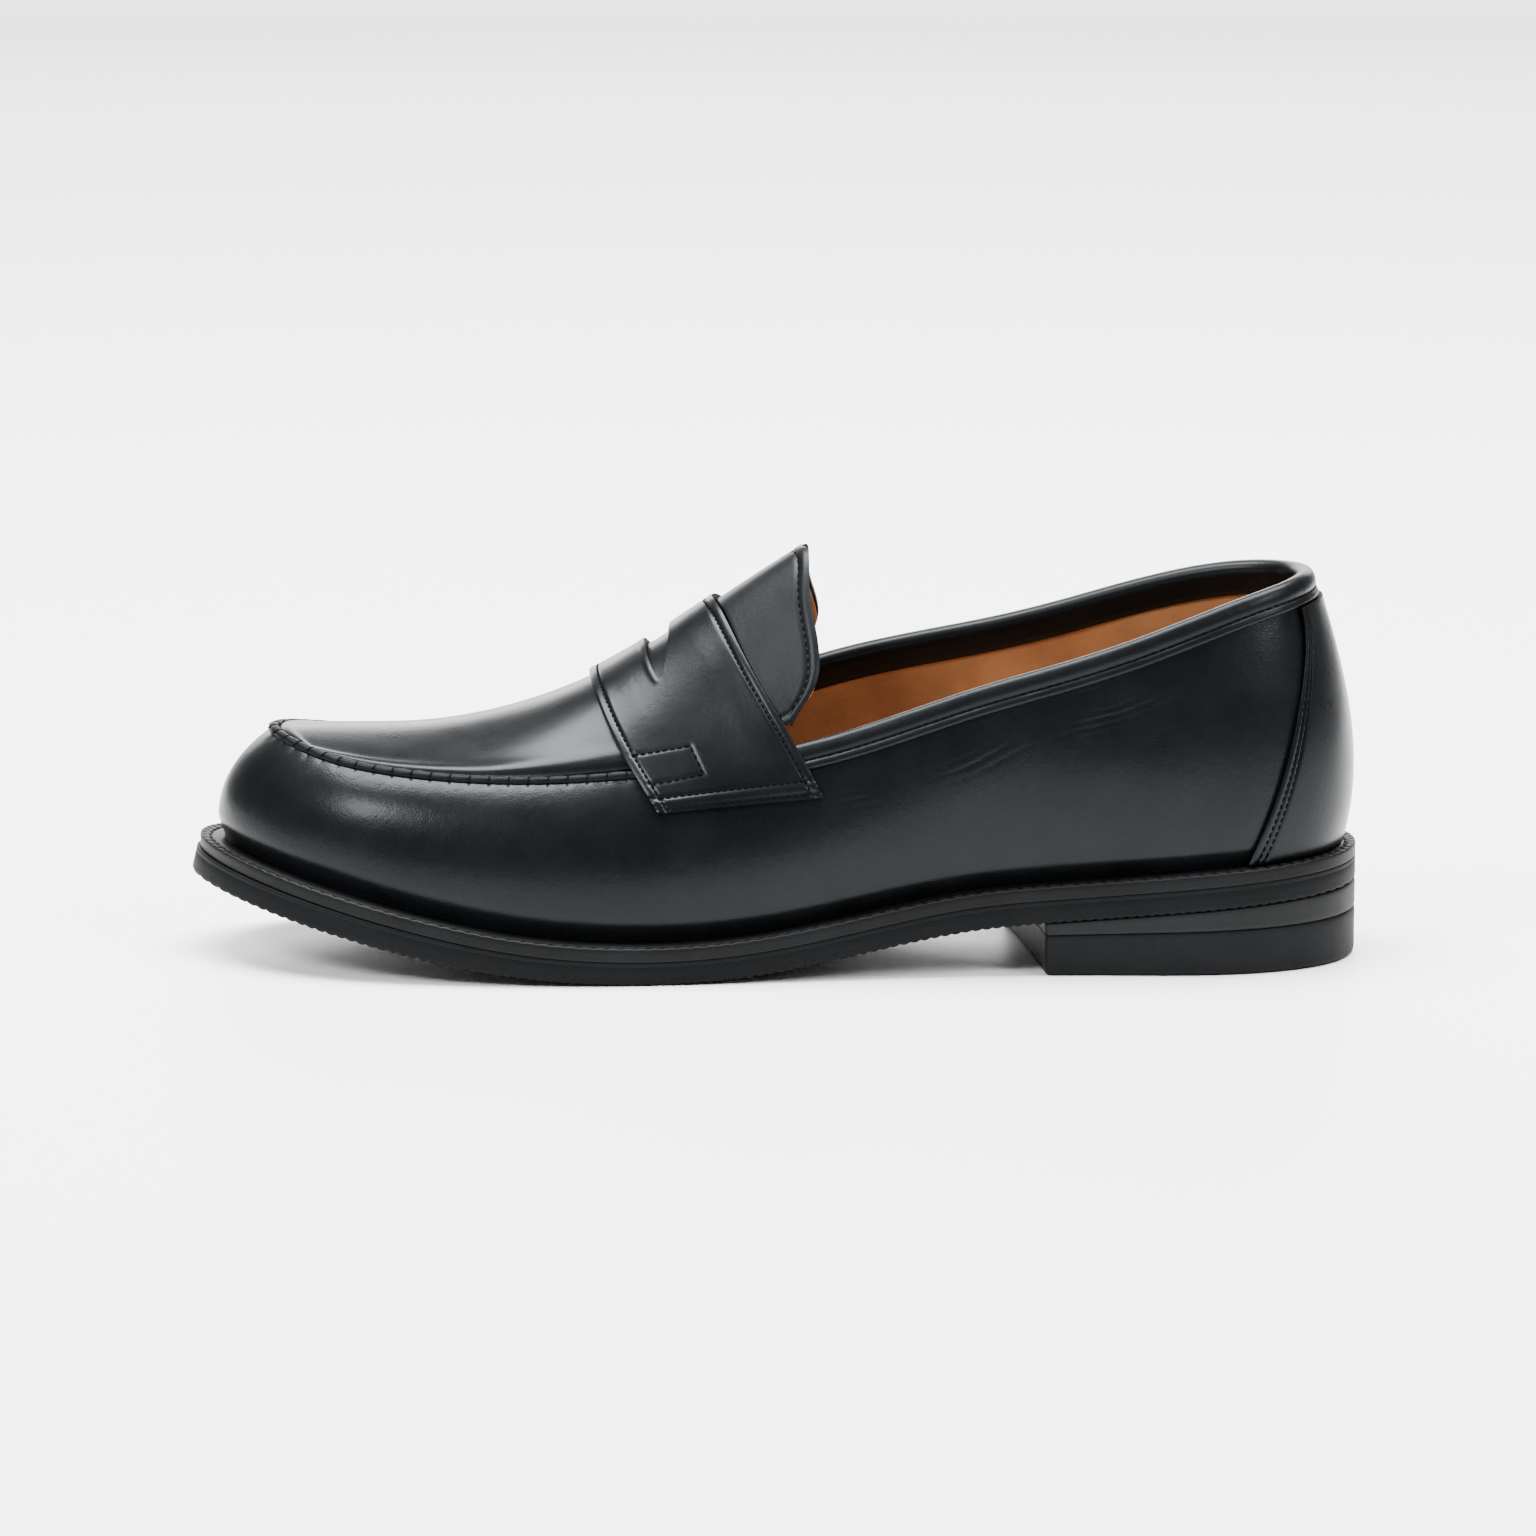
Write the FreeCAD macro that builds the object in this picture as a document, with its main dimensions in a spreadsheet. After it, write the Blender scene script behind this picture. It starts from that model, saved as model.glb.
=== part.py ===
"""Penny loafer, left shoe, EU 42 / UK 8.

Frame: millimetres, +Z up, the heel towards +X, the toe towards -X, the outer (lateral)
side towards -Y and the inner (medial) side towards +Y.  The origin is the middle of the
shoe's footprint, on the ground.

The upper is one form.  Twenty-two stations round the shoe give the edge of the sole and,
above it, a guide: the moccasin seam round the forepart and the topline round the back.
A cubic bulge joins the two (wall), the apron fills the seam (apron) and cross sections
run over the instep (instep).  Every leather piece is a layer between two depths of it.
"""
import FreeCAD, Part
import functools
import math
import os

Vector = FreeCAD.Vector
Placement = FreeCAD.Placement
Rotation = FreeCAD.Rotation

# ------------------------------------------------------------------ driving dimensions
SIZES = (
    ("outsole_length", 300.0, "sole, toe to heel"),
    ("outsole_width", 102.0, "sole, across the ball"),
    ("upper_height", 70.0, "topline at the back, above the welt"),
    ("outsole_thick", 6.0, "outsole"),
    ("welt_thick", 3.6, "welt"),
    ("welt_width", 12.0, "welt, edge to inner edge"),
    ("welt_reach_heel", 5.0, "welt outside the upper, heel"),
    ("welt_reach_fore", 6.6, "welt outside the upper, forepart"),
    ("rib_thick", 2.0, "insole rib"),
    ("shank_length", 92.0, "steel shank"),
    ("shank_width", 15.0, "steel shank"),
    ("shank_thick", 1.6, "steel shank"),
    ("heel_breast", 67.0, "front of the heel, lateral side, from the origin"),
    ("breast_sweep", 9.0, "how much further forward the medial corner is"),
    ("top_piece_front", 10.3, "rubber top piece at the breast"),
    ("top_piece_back", 12.2, "rubber top piece at the back"),
    ("nail_radius", 0.9, "heel nails"),
    ("nail_length", 7.0, "heel nails"),
    ("insole_thick", 2.5, "insole board"),
    ("heel_pad_thick", 1.4, "foam pad let into the insole"),
    ("sock_thick", 1.2, "sock liner"),
    ("upper_thick", 1.5, "upper leather"),
    ("lining_thick", 0.9, "lining leather"),
    ("stiffener_thick", 1.2, "heel stiffener, and toe puff"),
    ("cover_thick", 1.4, "counter cover"),
    ("strap_thick", 1.55, "saddle strap"),
    ("strap_width", 31.5, "saddle strap on the ridge"),
    ("strap_front", -46.0, "front edge of the strap on the ridge"),
    ("slot_width", 6.6, "penny slot, fore and aft"),
    ("binding_thick", 0.8, "topline binding"),
    ("binding_outside", 6.0, "binding, down the outside"),
    ("binding_inside", 7.0, "binding, down the inside"),
    ("seam_width", 2.8, "lip of the moccasin seam"),
    ("seam_height", 1.1, "lip of the moccasin seam"),
    ("apron_stitch_pitch", 5.0, "moccasin seam stitches"),
    ("welt_stitch_inset", 2.4, "welt thread, from the edge"),
    ("layer_gap", 0.25, "between two leather layers"),
    ("tongue_gap", 0.5, "strap to the free part of the tongue"),
)

doc = FreeCAD.newDocument("penny_loafer")
sheet = doc.addObject("Spreadsheet::Sheet", "Sizes")
for row, (alias, value, note) in enumerate(SIZES, 1):
    sheet.set(f"A{row}", alias)
    sheet.set(f"B{row}", str(value))
    sheet.set(f"C{row}", note)
    sheet.setAlias(f"B{row}", alias)
doc.recompute()


def size(alias):
    return float(sheet.get(alias))


UPPER = size("upper_thick")
LINING = size("lining_thick")
GAP = size("layer_gap")
WELT = size("welt_thick")
OUTSOLE = size("outsole_thick")

# ------------------------------------------------------------------ the pattern
# The pattern is drawn at its own size and graded to the driving dimensions.
PATTERN_LENGTH, PATTERN_WIDTH, PATTERN_HEIGHT = 300.0, 102.0, 70.0
GRADE_X = size("outsole_length") / PATTERN_LENGTH
GRADE_Y = size("outsole_width") / PATTERN_WIDTH
GRADE_Z = size("upper_height") / PATTERN_HEIGHT

# Stations from the back of the heel, along the lateral side to the toe and back along
# the medial side: sole edge x, y; guide x, y, height above the welt; and the bulge of
# the wall: low width, low share of the height, high width, high share of the height.
STATIONS = (
    ("heel_back", 150, 0, 137.3, 0, 70.0, 7.0, 0.35, 6.5, 0.30),
    ("heel_back_lateral", 143.5, -20.5, 132.5, -14, 69.3, 6.8, 0.35, 7.0, 0.30),
    ("heel_lateral", 122, -34.5, 117, -23, 66.1, 5.5, 0.35, 6.5, 0.30),
    ("breast_lateral", 90, -37, 90, -28.5, 58.6, 5.5, 0.35, 5.0, 0.30),
    ("waist_lateral", 55, -37.5, 55, -31.5, 51.2, 6.0, 0.35, 5.0, 0.30),
    ("joint_lateral", 15, -43, 15, -33, 45.6, 5.0, 0.35, 6.0, 0.30),
    ("strap_lateral", -20, -48.5, -20, -33, 43.5, 4.0, 0.40, 8.0, 0.25),
    ("ball_lateral", -52, -50.8, -50, -32.5, 40.0, 3.0, 0.45, 10.0, 0.20),
    ("forepart_lateral", -85, -48, -80, -30.5, 35.7, 2.4, 0.50, 10.0, 0.20),
    ("toe_lateral", -115, -38.5, -106, -23.5, 32.2, 2.2, 0.50, 9.0, 0.20),
    ("toe_side_lateral", -135.5, -22, -120.5, -12, 31.8, 2.0, 0.50, 8.0, 0.20),
    ("toe_tip", -147, 4, -127.5, 4, 32.2, 2.0, 0.50, 8.0, 0.20),
    ("toe_side_medial", -138.5, 27, -121, 19.5, 31.8, 2.0, 0.50, 8.0, 0.20),
    ("toe_medial", -118, 42, -106, 28.5, 32.8, 2.2, 0.50, 9.0, 0.20),
    ("forepart_medial", -85, 50, -80, 33.5, 36.8, 2.4, 0.50, 10.0, 0.20),
    ("ball_medial", -52, 50.2, -50, 34, 43.2, 3.0, 0.45, 10.0, 0.20),
    ("strap_medial", -20, 44, -20, 33, 50.5, 4.0, 0.40, 8.0, 0.25),
    ("joint_medial", 18, 35.5, 18, 31.5, 57.2, 5.0, 0.35, 5.5, 0.30),
    ("waist_medial", 55, 33, 55, 30.5, 58.5, 6.5, 0.35, 5.0, 0.30),
    ("breast_medial", 90, 34.8, 90, 28, 65.2, 6.0, 0.35, 5.0, 0.30),
    ("heel_medial", 122, 34, 117, 23, 69.6, 5.5, 0.35, 6.5, 0.30),
    ("heel_back_medial", 143.5, 20.5, 132.5, 14, 70.0, 6.8, 0.35, 7.0, 0.30),
)
TOE_STATION = 11
# Height of the outsole's underside: the heel seat, the shank, the tread under the
# ball, which touches the ground, and the toe spring.
UNDERSIDE = ((-150, 21.3), (-125, 15.3), (-95, 8.1), (-65, 2.3), (-35, 0), (-5, 1.5),
             (25, 6.8), (50, 11.4), (75, 13.7), (110, 16.4), (150, 19.4))
# Ridge over the apron, under the strap and up the tongue: x, y, height above the welt.
RIDGE = ((-127.5, 4, 32.2), (-110, 4, 36.7), (-90, 4, 42.0), (-70, 3.5, 49.3),
         (-50, 3, 58.4), (-30, 2.5, 70.0), (-10, 2, 82.6), (12, 1.5, 93.7))
SHOULDER_SIDE, SHOULDER_RISE, SHOULDER_FULL = 0.48, 0.60, 0.06
APRON_JOIN = -45.0 * GRADE_X
APRON_BLEND = 30.0 * GRADE_X
TOE_CORNERS = (0.452, 0.552)


def curve(knots, values, closed=False):
    """C2 cubic through the values; a closed one repeats its first value at the end."""
    count = len(knots) - 1 if closed else len(knots)
    step = [b - a for a, b in zip(knots, knots[1:])]
    slope = [(b - a) / d for a, b, d in zip(values, values[1:], step)]
    matrix = [[0.0] * count for _ in range(count)]
    right = [0.0] * count
    for i in range(count):
        if not closed and i in (0, count - 1):
            matrix[i][i] = 1.0
            continue
        matrix[i][i - 1] += step[i - 1]
        matrix[i][i] += 2 * (step[i - 1] + step[i])
        matrix[i][(i + 1) % count] += step[i]
        right[i] = 6 * (slope[i] - slope[i - 1])
    for i in range(count):
        for j in range(i + 1, count):
            if matrix[j][i]:
                share = matrix[j][i] / matrix[i][i]
                matrix[j] = [b - share * a for a, b in zip(matrix[i], matrix[j])]
                right[j] -= share * right[i]
    bend = [0.0] * count
    for i in reversed(range(count)):
        rest = sum(matrix[i][k] * bend[k] for k in range(i + 1, count))
        bend[i] = (right[i] - rest) / matrix[i][i]
    if closed:
        bend.append(bend[0])

    def at(place):
        if closed:
            place = knots[0] + (place - knots[0]) % (knots[-1] - knots[0])
        inside = min(max(place, knots[0]), knots[-1])
        i = 0
        while i < len(step) - 1 and inside > knots[i + 1]:
            i += 1
        low, high = (knots[i + 1] - inside) / step[i], (inside - knots[i]) / step[i]
        value = low * values[i] + high * values[i + 1]
        value += ((low**3 - low) * bend[i] + (high**3 - high) * bend[i + 1]) * step[i] ** 2 / 6
        if inside != place:
            low_end = -(2 * bend[i] + bend[i + 1]) * step[i] / 6
            high_end = (bend[i] + 2 * bend[i + 1]) * step[i] / 6
            value += (slope[i] + (low_end if place < inside else high_end)) * (place - inside)
        return value

    return at


def smooth(share):
    share = min(max(share, 0.0), 1.0)
    return share * share * (3 - 2 * share)


def find(test, low, high):
    """The place between low, where test is true, and high, where it is false."""
    for _ in range(36):
        middle = (low + high) / 2
        if test(middle):
            low = middle
        else:
            high = middle
    return low


under_raw = curve([x * GRADE_X for x, _ in UNDERSIDE], [z for _, z in UNDERSIDE])
TREAD = min(under_raw(x / 2) for x in range(-140, 20))


def under(x):
    """Underside of the outsole."""
    return under_raw(x) - TREAD


def seat(x):
    """Top of the welt, where the upper stands."""
    return under(x) + OUTSOLE + WELT


spans = [math.hypot(b[1] - a[1], b[2] - a[2])
         for a, b in zip(STATIONS, STATIONS[1:] + STATIONS[:1])]
STATION_AT = [sum(spans[:i]) / sum(spans) for i in range(len(spans) + 1)]
TOE_AT = STATION_AT[TOE_STATION]


def round_shoe(column, grade=1.0):
    values = [station[column] * grade for station in STATIONS]
    return curve(STATION_AT, values + values[:1], closed=True)


edge_x, edge_y = round_shoe(1, GRADE_X), round_shoe(2, GRADE_Y)
guide_x, guide_y, guide_rise = round_shoe(3, GRADE_X), round_shoe(4, GRADE_Y), round_shoe(5, GRADE_Z)
low_width, low_share, high_width, high_share = (round_shoe(column) for column in (6, 7, 8, 9))
ridge_y = curve([x * GRADE_X for x, _, _ in RIDGE], [y * GRADE_Y for _, y, _ in RIDGE])
ridge_rise = curve([x * GRADE_X for x, _, _ in RIDGE], [z * GRADE_Z for _, _, z in RIDGE])


def ridge_z(x):
    return seat(x) + ridge_rise(x)


def edge(at, inset=0.0):
    """Point of the sole's edge, moved in by the inset, and the way out of the sole."""
    tiny = 1e-4
    dx = edge_x(at + tiny) - edge_x(at - tiny)
    dy = edge_y(at + tiny) - edge_y(at - tiny)
    length = math.hypot(dx, dy)
    out_x, out_y = -dy / length, dx / length
    return edge_x(at) - out_x * inset, edge_y(at) - out_y * inset, out_x, out_y


def reach(at):
    """How far the welt stands out of the upper."""
    fore = smooth((60 * GRADE_X - edge_x(at)) / (80 * GRADE_X))
    toe = smooth((-115 * GRADE_X - edge_x(at)) / (30 * GRADE_X))
    heel_reach, fore_reach = size("welt_reach_heel"), size("welt_reach_fore")
    return heel_reach + (fore_reach - heel_reach) * (fore - toe)


def wall(at, rise):
    """Outer face of the upper from the welt (rise 0) to the guide (rise 1)."""
    x, y, out_x, out_y = edge(at, reach(at))
    low = seat(x)
    gx, gy = guide_x(at), guide_y(at)
    high = seat(gx) + guide_rise(at)
    height = high - low
    poles = (
        (x, y, low),
        (x + out_x * low_width(at), y + out_y * low_width(at), low + low_share(at) * height),
        (gx + out_x * high_width(at), gy + out_y * high_width(at), high - high_share(at) * height),
        (gx, gy, high),
    )
    rest = 1 - rise
    weights = (rest**3, 3 * rest * rest * rise, 3 * rest * rise * rise, rise**3)
    return Vector(*(sum(w * p[i] for w, p in zip(weights, poles)) for i in range(3)))


def wall_place(x, rise, side):
    """Where the wall has this x at this rise; side is -1 lateral, +1 medial."""
    if side < 0:
        return find(lambda at: wall(at, rise).x > x, 0.001, TOE_AT - 0.01)
    return find(lambda at: wall(at, rise).x < x, TOE_AT + 0.01, 0.999)


sections = {}


def section(x):
    """Curve over the instep at x: y and z against v, -1 lateral, 0 ridge, 1 medial."""
    key = round(x, 3)
    if key in sections:
        return sections[key]
    ry, rz = ridge_y(x), ridge_z(x)
    rises = (0.4, 0.6, 0.8, 1.0)
    sides = [[wall(wall_place(x, rise, side), rise) for rise in rises] for side in (-1, 1)]
    shoulders = []
    for points in sides:
        top = points[-1]
        half = ry - top.y
        lift = SHOULDER_RISE * (rz - top.z) + SHOULDER_FULL * abs(half)
        shoulders.append((top.y + SHOULDER_SIDE * half, top.z + lift))
    points = [(p.y, p.z) for p in sides[0]] + [shoulders[0], (ry, rz), shoulders[1]]
    points += [(p.y, p.z) for p in reversed(sides[1])]
    length = [0.0]
    for a, b in zip(points, points[1:]):
        length.append(length[-1] + math.dist(a, b))
    middle, whole = length[5], length[-1]
    places = [(k - middle) / (middle if k < middle else whole - middle) for k in length]
    y_of, z_of = (curve(places, [p[i] for p in points]) for i in (0, 1))
    sections[key] = (y_of, z_of, places[3], places[7])
    return sections[key]


def instep(x, v):
    y_of, z_of, _, _ = section(x)
    return Vector(x, y_of(v), z_of(v))


def guide_place(x, side):
    return wall_place(x, 1.0, side)


JOIN_PLACES = (guide_place(APRON_JOIN, -1), guide_place(APRON_JOIN, 1))


def across(x, v):
    """The v of a section for an apron share, -1 at the lateral seam, 1 at the medial."""
    _, _, lateral, medial = section(x)
    return v * (-lateral if v < 0 else medial)


def apron_flat(u, v):
    """The seam filled with no crown: u 0 at the join to 1 at the toe, v -1 to 1."""
    share = (v + 1) / 2
    places = [join + (corner - join) * u for join, corner in zip(JOIN_PLACES, TOE_CORNERS)]
    toe = wall(TOE_CORNERS[0] + (TOE_CORNERS[1] - TOE_CORNERS[0]) * share, 1)
    rear = instep(APRON_JOIN, across(APRON_JOIN, v))
    joins = [wall(place, 1) for place in JOIN_PLACES]
    corners = [wall(place, 1) for place in TOE_CORNERS]
    sides = [wall(place, 1) for place in places]
    sides = [side - join * (1 - u) - corner * u
             for side, join, corner in zip(sides, joins, corners)]
    return sides[0] * (1 - share) + sides[1] * share + rear * (1 - u) + toe * u


def apron(u, v):
    """The crowned apron; a negative u goes on under the strap, in millimetres of x."""
    if u < 0:
        x = APRON_JOIN - u
        return instep(x, across(x, v))
    point, middle = apron_flat(u, v), apron_flat(u, 0)
    domed = point + Vector(0, 0, (ridge_z(middle.x) - middle.z) * (1 - v * v))
    blend = smooth((point.x - APRON_JOIN + APRON_BLEND) / APRON_BLEND)
    if blend == 0:
        return domed
    return domed * (1 - blend) + instep(point.x, across(point.x, v)) * blend


# ------------------------------------------------------------------ solids
made = []


def keep(item, label):
    """Name a finished sub-part."""
    item.Label = label
    made.append(item)
    return item


def feature(label, shape):
    item = doc.addObject("Part::Feature", label)
    item.Shape = shape
    item.Placement = Placement()
    return keep(item, label)


def spread(low, high, count):
    return [low + (high - low) * i / (count - 1) for i in range(count)]


def wider(places):
    """The places with one more at each end."""
    return [2 * places[0] - places[1], *places, 2 * places[-1] - places[-2]]


def normals(grid):
    """Outward unit normals inside a grid whose rows run heel, outer side, toe."""
    result = []
    for i in range(1, len(grid) - 1):
        line = []
        for j in range(1, len(grid[i]) - 1):
            along = grid[i + 1][j] - grid[i - 1][j]
            up = grid[i][j + 1] - grid[i][j - 1]
            line.append(up.cross(along).normalize())
        result.append(line)
    return result


def sewn(faces):
    shell = Part.Compound(faces)
    shell.sewShape()
    solid = Part.Solid(shell.Shells[0])
    if solid.Volume < 0:
        solid.reverse()
    return solid


def layer_solid(form, rows, columns, outer, inner):
    """Solid between two depths of a form; a depth is a number or a function."""
    grid = [[form(row, column) for column in wider(columns)] for row in wider(rows)]
    out = normals(grid)
    grid = [line[1:-1] for line in grid[1:-1]]
    skins = []
    for depth in (outer, inner):
        points = []
        for i, row in enumerate(rows):
            depths = [depth(row, column) if callable(depth) else depth for column in columns]
            points.append([grid[i][j] + out[i][j] * d for j, d in enumerate(depths)])
        skin = Part.BSplineSurface()
        skin.interpolate(points)
        skins.append(skin)
    faces = [skin.toShape() for skin in skins]
    borders = []
    for skin in skins:
        u0, u1, v0, v1 = skin.bounds()
        borders.append([skin.uIso(u0), skin.uIso(u1), skin.vIso(v0), skin.vIso(v1)])
    faces += [Part.makeRuledSurface(a.toShape(), b.toShape()) for a, b in zip(*borders)]
    return sewn(faces)


def layer(label, form, rows, columns, outer, inner):
    return feature(label, layer_solid(form, rows, columns, outer, inner))


def ribbon_solid(profiles):
    """Solid through flat profiles of the same number of points."""
    edges = []
    for line in zip(*profiles):
        spline = Part.BSplineCurve()
        spline.interpolate(list(line))
        edges.append(spline.toShape())
    faces = [Part.makeRuledSurface(a, b) for a, b in zip(edges, edges[1:] + edges[:1])]
    for end in (profiles[0], profiles[-1]):
        faces.append(Part.Face(Part.makePolygon(list(end) + [end[0]])))
    return sewn(faces)


def sketch_on(body, role, label, geometry, lift=0.0):
    sketch = body.newObject("Sketcher::SketchObject", label)
    plane = next(item for item in body.Origin.OriginFeatures if item.Role == role)
    sketch.AttachmentSupport = (plane, [""])
    sketch.MapMode = "FlatFace"
    sketch.AttachmentOffset = Placement(Vector(0, 0, lift), Rotation())
    sketch.addGeometry(geometry)
    return sketch


def spline(points, closed=False):
    curve_through = Part.BSplineCurve()
    curve_through.interpolate(points, closed)
    return curve_through


def band(label, low, high, front=-1.0, back=1.0):
    """Slab between two side profiles, across the whole width, as a padded sketch."""
    start, end = front * SIDE_REACH, back * SIDE_REACH
    xs = spread(start, end, max(5, int((end - start) / 12)))
    bottom, top = ([Vector(x, side(x), 0) for x in xs] for side in (low, high))
    body = doc.addObject("PartDesign::Body", label)
    flat = max(point.y for point in bottom) == min(point.y for point in bottom)
    lower = Part.LineSegment(bottom[0], bottom[-1]) if flat else spline(bottom)
    geometry = [lower, Part.LineSegment(bottom[-1], top[-1]),
                spline(top), Part.LineSegment(top[0], bottom[0])]
    pad = body.newObject("PartDesign::Pad", label + "_pad")
    pad.Profile = sketch_on(body, "XZ_Plane", label + "_side", geometry)
    pad.SideType = "Symmetric"
    pad.setExpression("Length", "Sizes.outsole_width * 2")
    return body


def lean(x):
    """The sole's edge stays square to the sole where the toe springs up."""
    return (seat(x - 4) - seat(x)) / 4 * smooth((-20 - x) / 60)


def block(label, inset):
    """Everything inside the sole's edge moved in by the inset, from low to high."""
    body = doc.addObject("PartDesign::Body", label)
    sketches = []
    for level, height in (("low", -BLOCK_DEPTH), ("high", BLOCK_HEIGHT)):
        points = []
        for i in range(EDGE_POINTS):
            at = i / EDGE_POINTS
            x, y, _, _ = edge(at, inset(at) if callable(inset) else inset)
            points.append(Vector(x + lean(x) * (height - seat(x)), y, 0))
        sketches.append(sketch_on(body, "XY_Plane", f"{label}_{level}",
                                  [spline(points, True)], height))
    loft = body.newObject("PartDesign::AdditiveLoft", label + "_loft")
    loft.Profile, loft.Sections, loft.Ruled = sketches[0], sketches[1:], True
    return body


def common(label, *items):
    shared = doc.addObject("Part::MultiCommon", label)
    shared.Shapes = list(items)
    return shared


def cut(label, base, tool):
    result = doc.addObject("Part::Cut", label)
    result.Base, result.Tool = base, tool
    return result


SIDE_REACH = size("outsole_length") * 0.55
BLOCK_DEPTH, BLOCK_HEIGHT = 25.0, 70.0
EDGE_POINTS = 64

# ------------------------------------------------------------------ the sole
CLEAR = 0.08


def lift_low(x):
    """Top of the rubber top piece: a plane that rises towards the back."""
    breast = size("heel_breast")
    rise = size("top_piece_back") - size("top_piece_front")
    return size("top_piece_front") + rise * (x - breast) / (size("outsole_length") / 2 - breast)


def insole_inset(at):
    return reach(at) + UPPER + 2 * GAP + LINING + size("stiffener_thick") + 0.4


edge_block = block("sole_block", 0.0)
welt_hole = block("welt_hole_block", size("welt_width"))
rib_block = block("rib_block", size("welt_width") + GAP)
rib_hole = block("rib_hole_block", size("welt_width") + GAP + size("rib_thick"))
fill_block = block("filler_block", size("welt_width") + 2 * GAP + size("rib_thick"))
insole_block = block("insole_block", insole_inset)

keep(common("outsole_shape", edge_block,
            band("outsole_band", under, lambda x: under(x) + OUTSOLE)), "outsole")
welt_band = band("welt_band", lambda x: seat(x) - WELT + CLEAR, seat)
keep(common("welt_shape", welt_band, cut("welt_ring", edge_block, welt_hole)), "welt")
keep(common("rib_shape", band("rib_band", lambda x: seat(x) - WELT + CLEAR, seat),
            cut("rib_ring", rib_block, rib_hole)), "insole_rib")


def fill_low(x):
    return seat(x) - WELT + CLEAR


def fill_high(x):
    return seat(x) - CLEAR


keep(common("filler_shape", fill_block, band("filler_band", fill_low, fill_high, -1, 0.02)),
     "cork_filler")
SHANK_FRONT = 14.0
SHANK_LIFT = 1.0
shank_side = spread(0, size("shank_length"), 9)


def shank_tool(label, room):
    """The shank's strip, or with room the groove it lies in."""
    low = [Vector(SHANK_FRONT + x, fill_low(SHANK_FRONT + x) + SHANK_LIFT - room, 0)
           for x in shank_side]
    high = [p + Vector(0, size("shank_thick") + 2 * room, 0) for p in low]
    body = doc.addObject("PartDesign::Body", label)
    geometry = [spline(low), Part.LineSegment(low[-1], high[-1]), spline(high),
                Part.LineSegment(high[0], low[0])]
    pad = body.newObject("PartDesign::Pad", label + "_pad")
    pad.Profile = sketch_on(body, "XZ_Plane", label + "_side", geometry)
    pad.SideType = "Symmetric"
    pad.setExpression("Length", f"Sizes.shank_width + {2 * room}")
    return body


board = common("shank_board_shape", fill_block, band("board_band", fill_low, fill_high, 0.03, 1))
keep(cut("shank_board_cut", board, shank_tool("shank_groove", CLEAR)), "shank_board")
keep(shank_tool("shank_strip", 0.0), "shank")

insole_top = GAP + size("insole_thick")
keep(common("insole_shape", insole_block,
            band("insole_band", lambda x: seat(x) + GAP, lambda x: seat(x) + insole_top)),
     "insole")
PAD_FRONT, PAD_SKIVE = 70.0, 18.0


def pad_rise(x):
    return size("heel_pad_thick") * smooth((x - PAD_FRONT) / PAD_SKIVE)


def sock_low(x):
    return seat(x) + insole_top + 2 * CLEAR + pad_rise(x)


keep(common("heel_pad_shape", insole_block,
            band("pad_band", lambda x: seat(x) + insole_top + CLEAR,
                 lambda x: sock_low(x) - CLEAR, (PAD_FRONT + PAD_SKIVE / 2) / SIDE_REACH)),
     "heel_pad")
keep(common("sock_shape", insole_block,
            band("sock_band", sock_low, lambda x: sock_low(x) + size("sock_thick"))),
     "sock_liner")

# The heel: everything behind a breast that curves across the shoe.
heel_region = doc.addObject("PartDesign::Body", "heel_region")
far = size("outsole_length")
side_y = size("outsole_width")
HEEL_SIDE, BREAST_HOLLOW = 36.0, 2.5
breast_slant = size("breast_sweep") / (2 * HEEL_SIDE)
breast_line = [Vector(size("heel_breast") - breast_slant * (y + HEEL_SIDE), y, 0)
               for y in (-side_y, 0, side_y)]
breast_line[1].x += BREAST_HOLLOW
heel_plan = [
    Part.Arc(*breast_line),
    Part.LineSegment(breast_line[2], Vector(far, side_y, 0)),
    Part.LineSegment(Vector(far, side_y, 0), Vector(far, -side_y, 0)),
    Part.LineSegment(Vector(far, -side_y, 0), breast_line[0]),
]
region_pad = heel_region.newObject("PartDesign::Pad", "heel_region_pad")
region_pad.Profile = sketch_on(heel_region, "XY_Plane", "heel_plan", heel_plan)
region_pad.SideType = "Symmetric"
region_pad.Length = 2 * BLOCK_HEIGHT
keep(common("lift_shape", edge_block, heel_region,
            band("lift_band", lambda x: lift_low(x) + CLEAR,
                 lambda x: under(x) - CLEAR, 0.3, 1)), "heel_lift")
keep(common("top_piece_shape", edge_block, heel_region,
            band("top_piece_band", lambda x: 0.0, lift_low, 0.3, 1)), "heel_top_piece")

# Share of the way round the shoe and distance in from the edge, for each nail.
nail_spots = ((0.0, 9.0), (0.055, 9.0), (0.945, 9.0), (0.11, 9.5), (0.89, 9.5),
              (0.0, 34.0), (0.0, 60.0))
nails = []
for count, (at, inset) in enumerate(nail_spots):
    nail = doc.addObject("Part::Cylinder", f"nail_{count}")
    nail.setExpression("Radius", "Sizes.nail_radius")
    nail.setExpression("Height", "Sizes.nail_length")
    x, y, _, _ = edge(at, inset)
    nail.Placement = Placement(Vector(x, y, lift_low(x) + CLEAR), Rotation())
    nails.append(nail)
nail_group = doc.addObject("Part::Compound", "nail_group")
nail_group.Links = nails
keep(nail_group, "heel_nails")

# ------------------------------------------------------------------ the upper's layers
FOOT, TOP = 0.012, 0.97
SEAM_EDGE = 0.955
LINING_OUT = UPPER + GAP
STRAP_REAR = size("strap_front") + size("strap_width")
STRAP_FRONT_SWEEP, STRAP_REAR_SWEEP = 17.4, 27.7
# Height of the strap's two lower corners, front then rear, on each side.
STRAP_ENDS = {-1: (42.0, 46.0), 1: (46.0, 54.0)}
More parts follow.
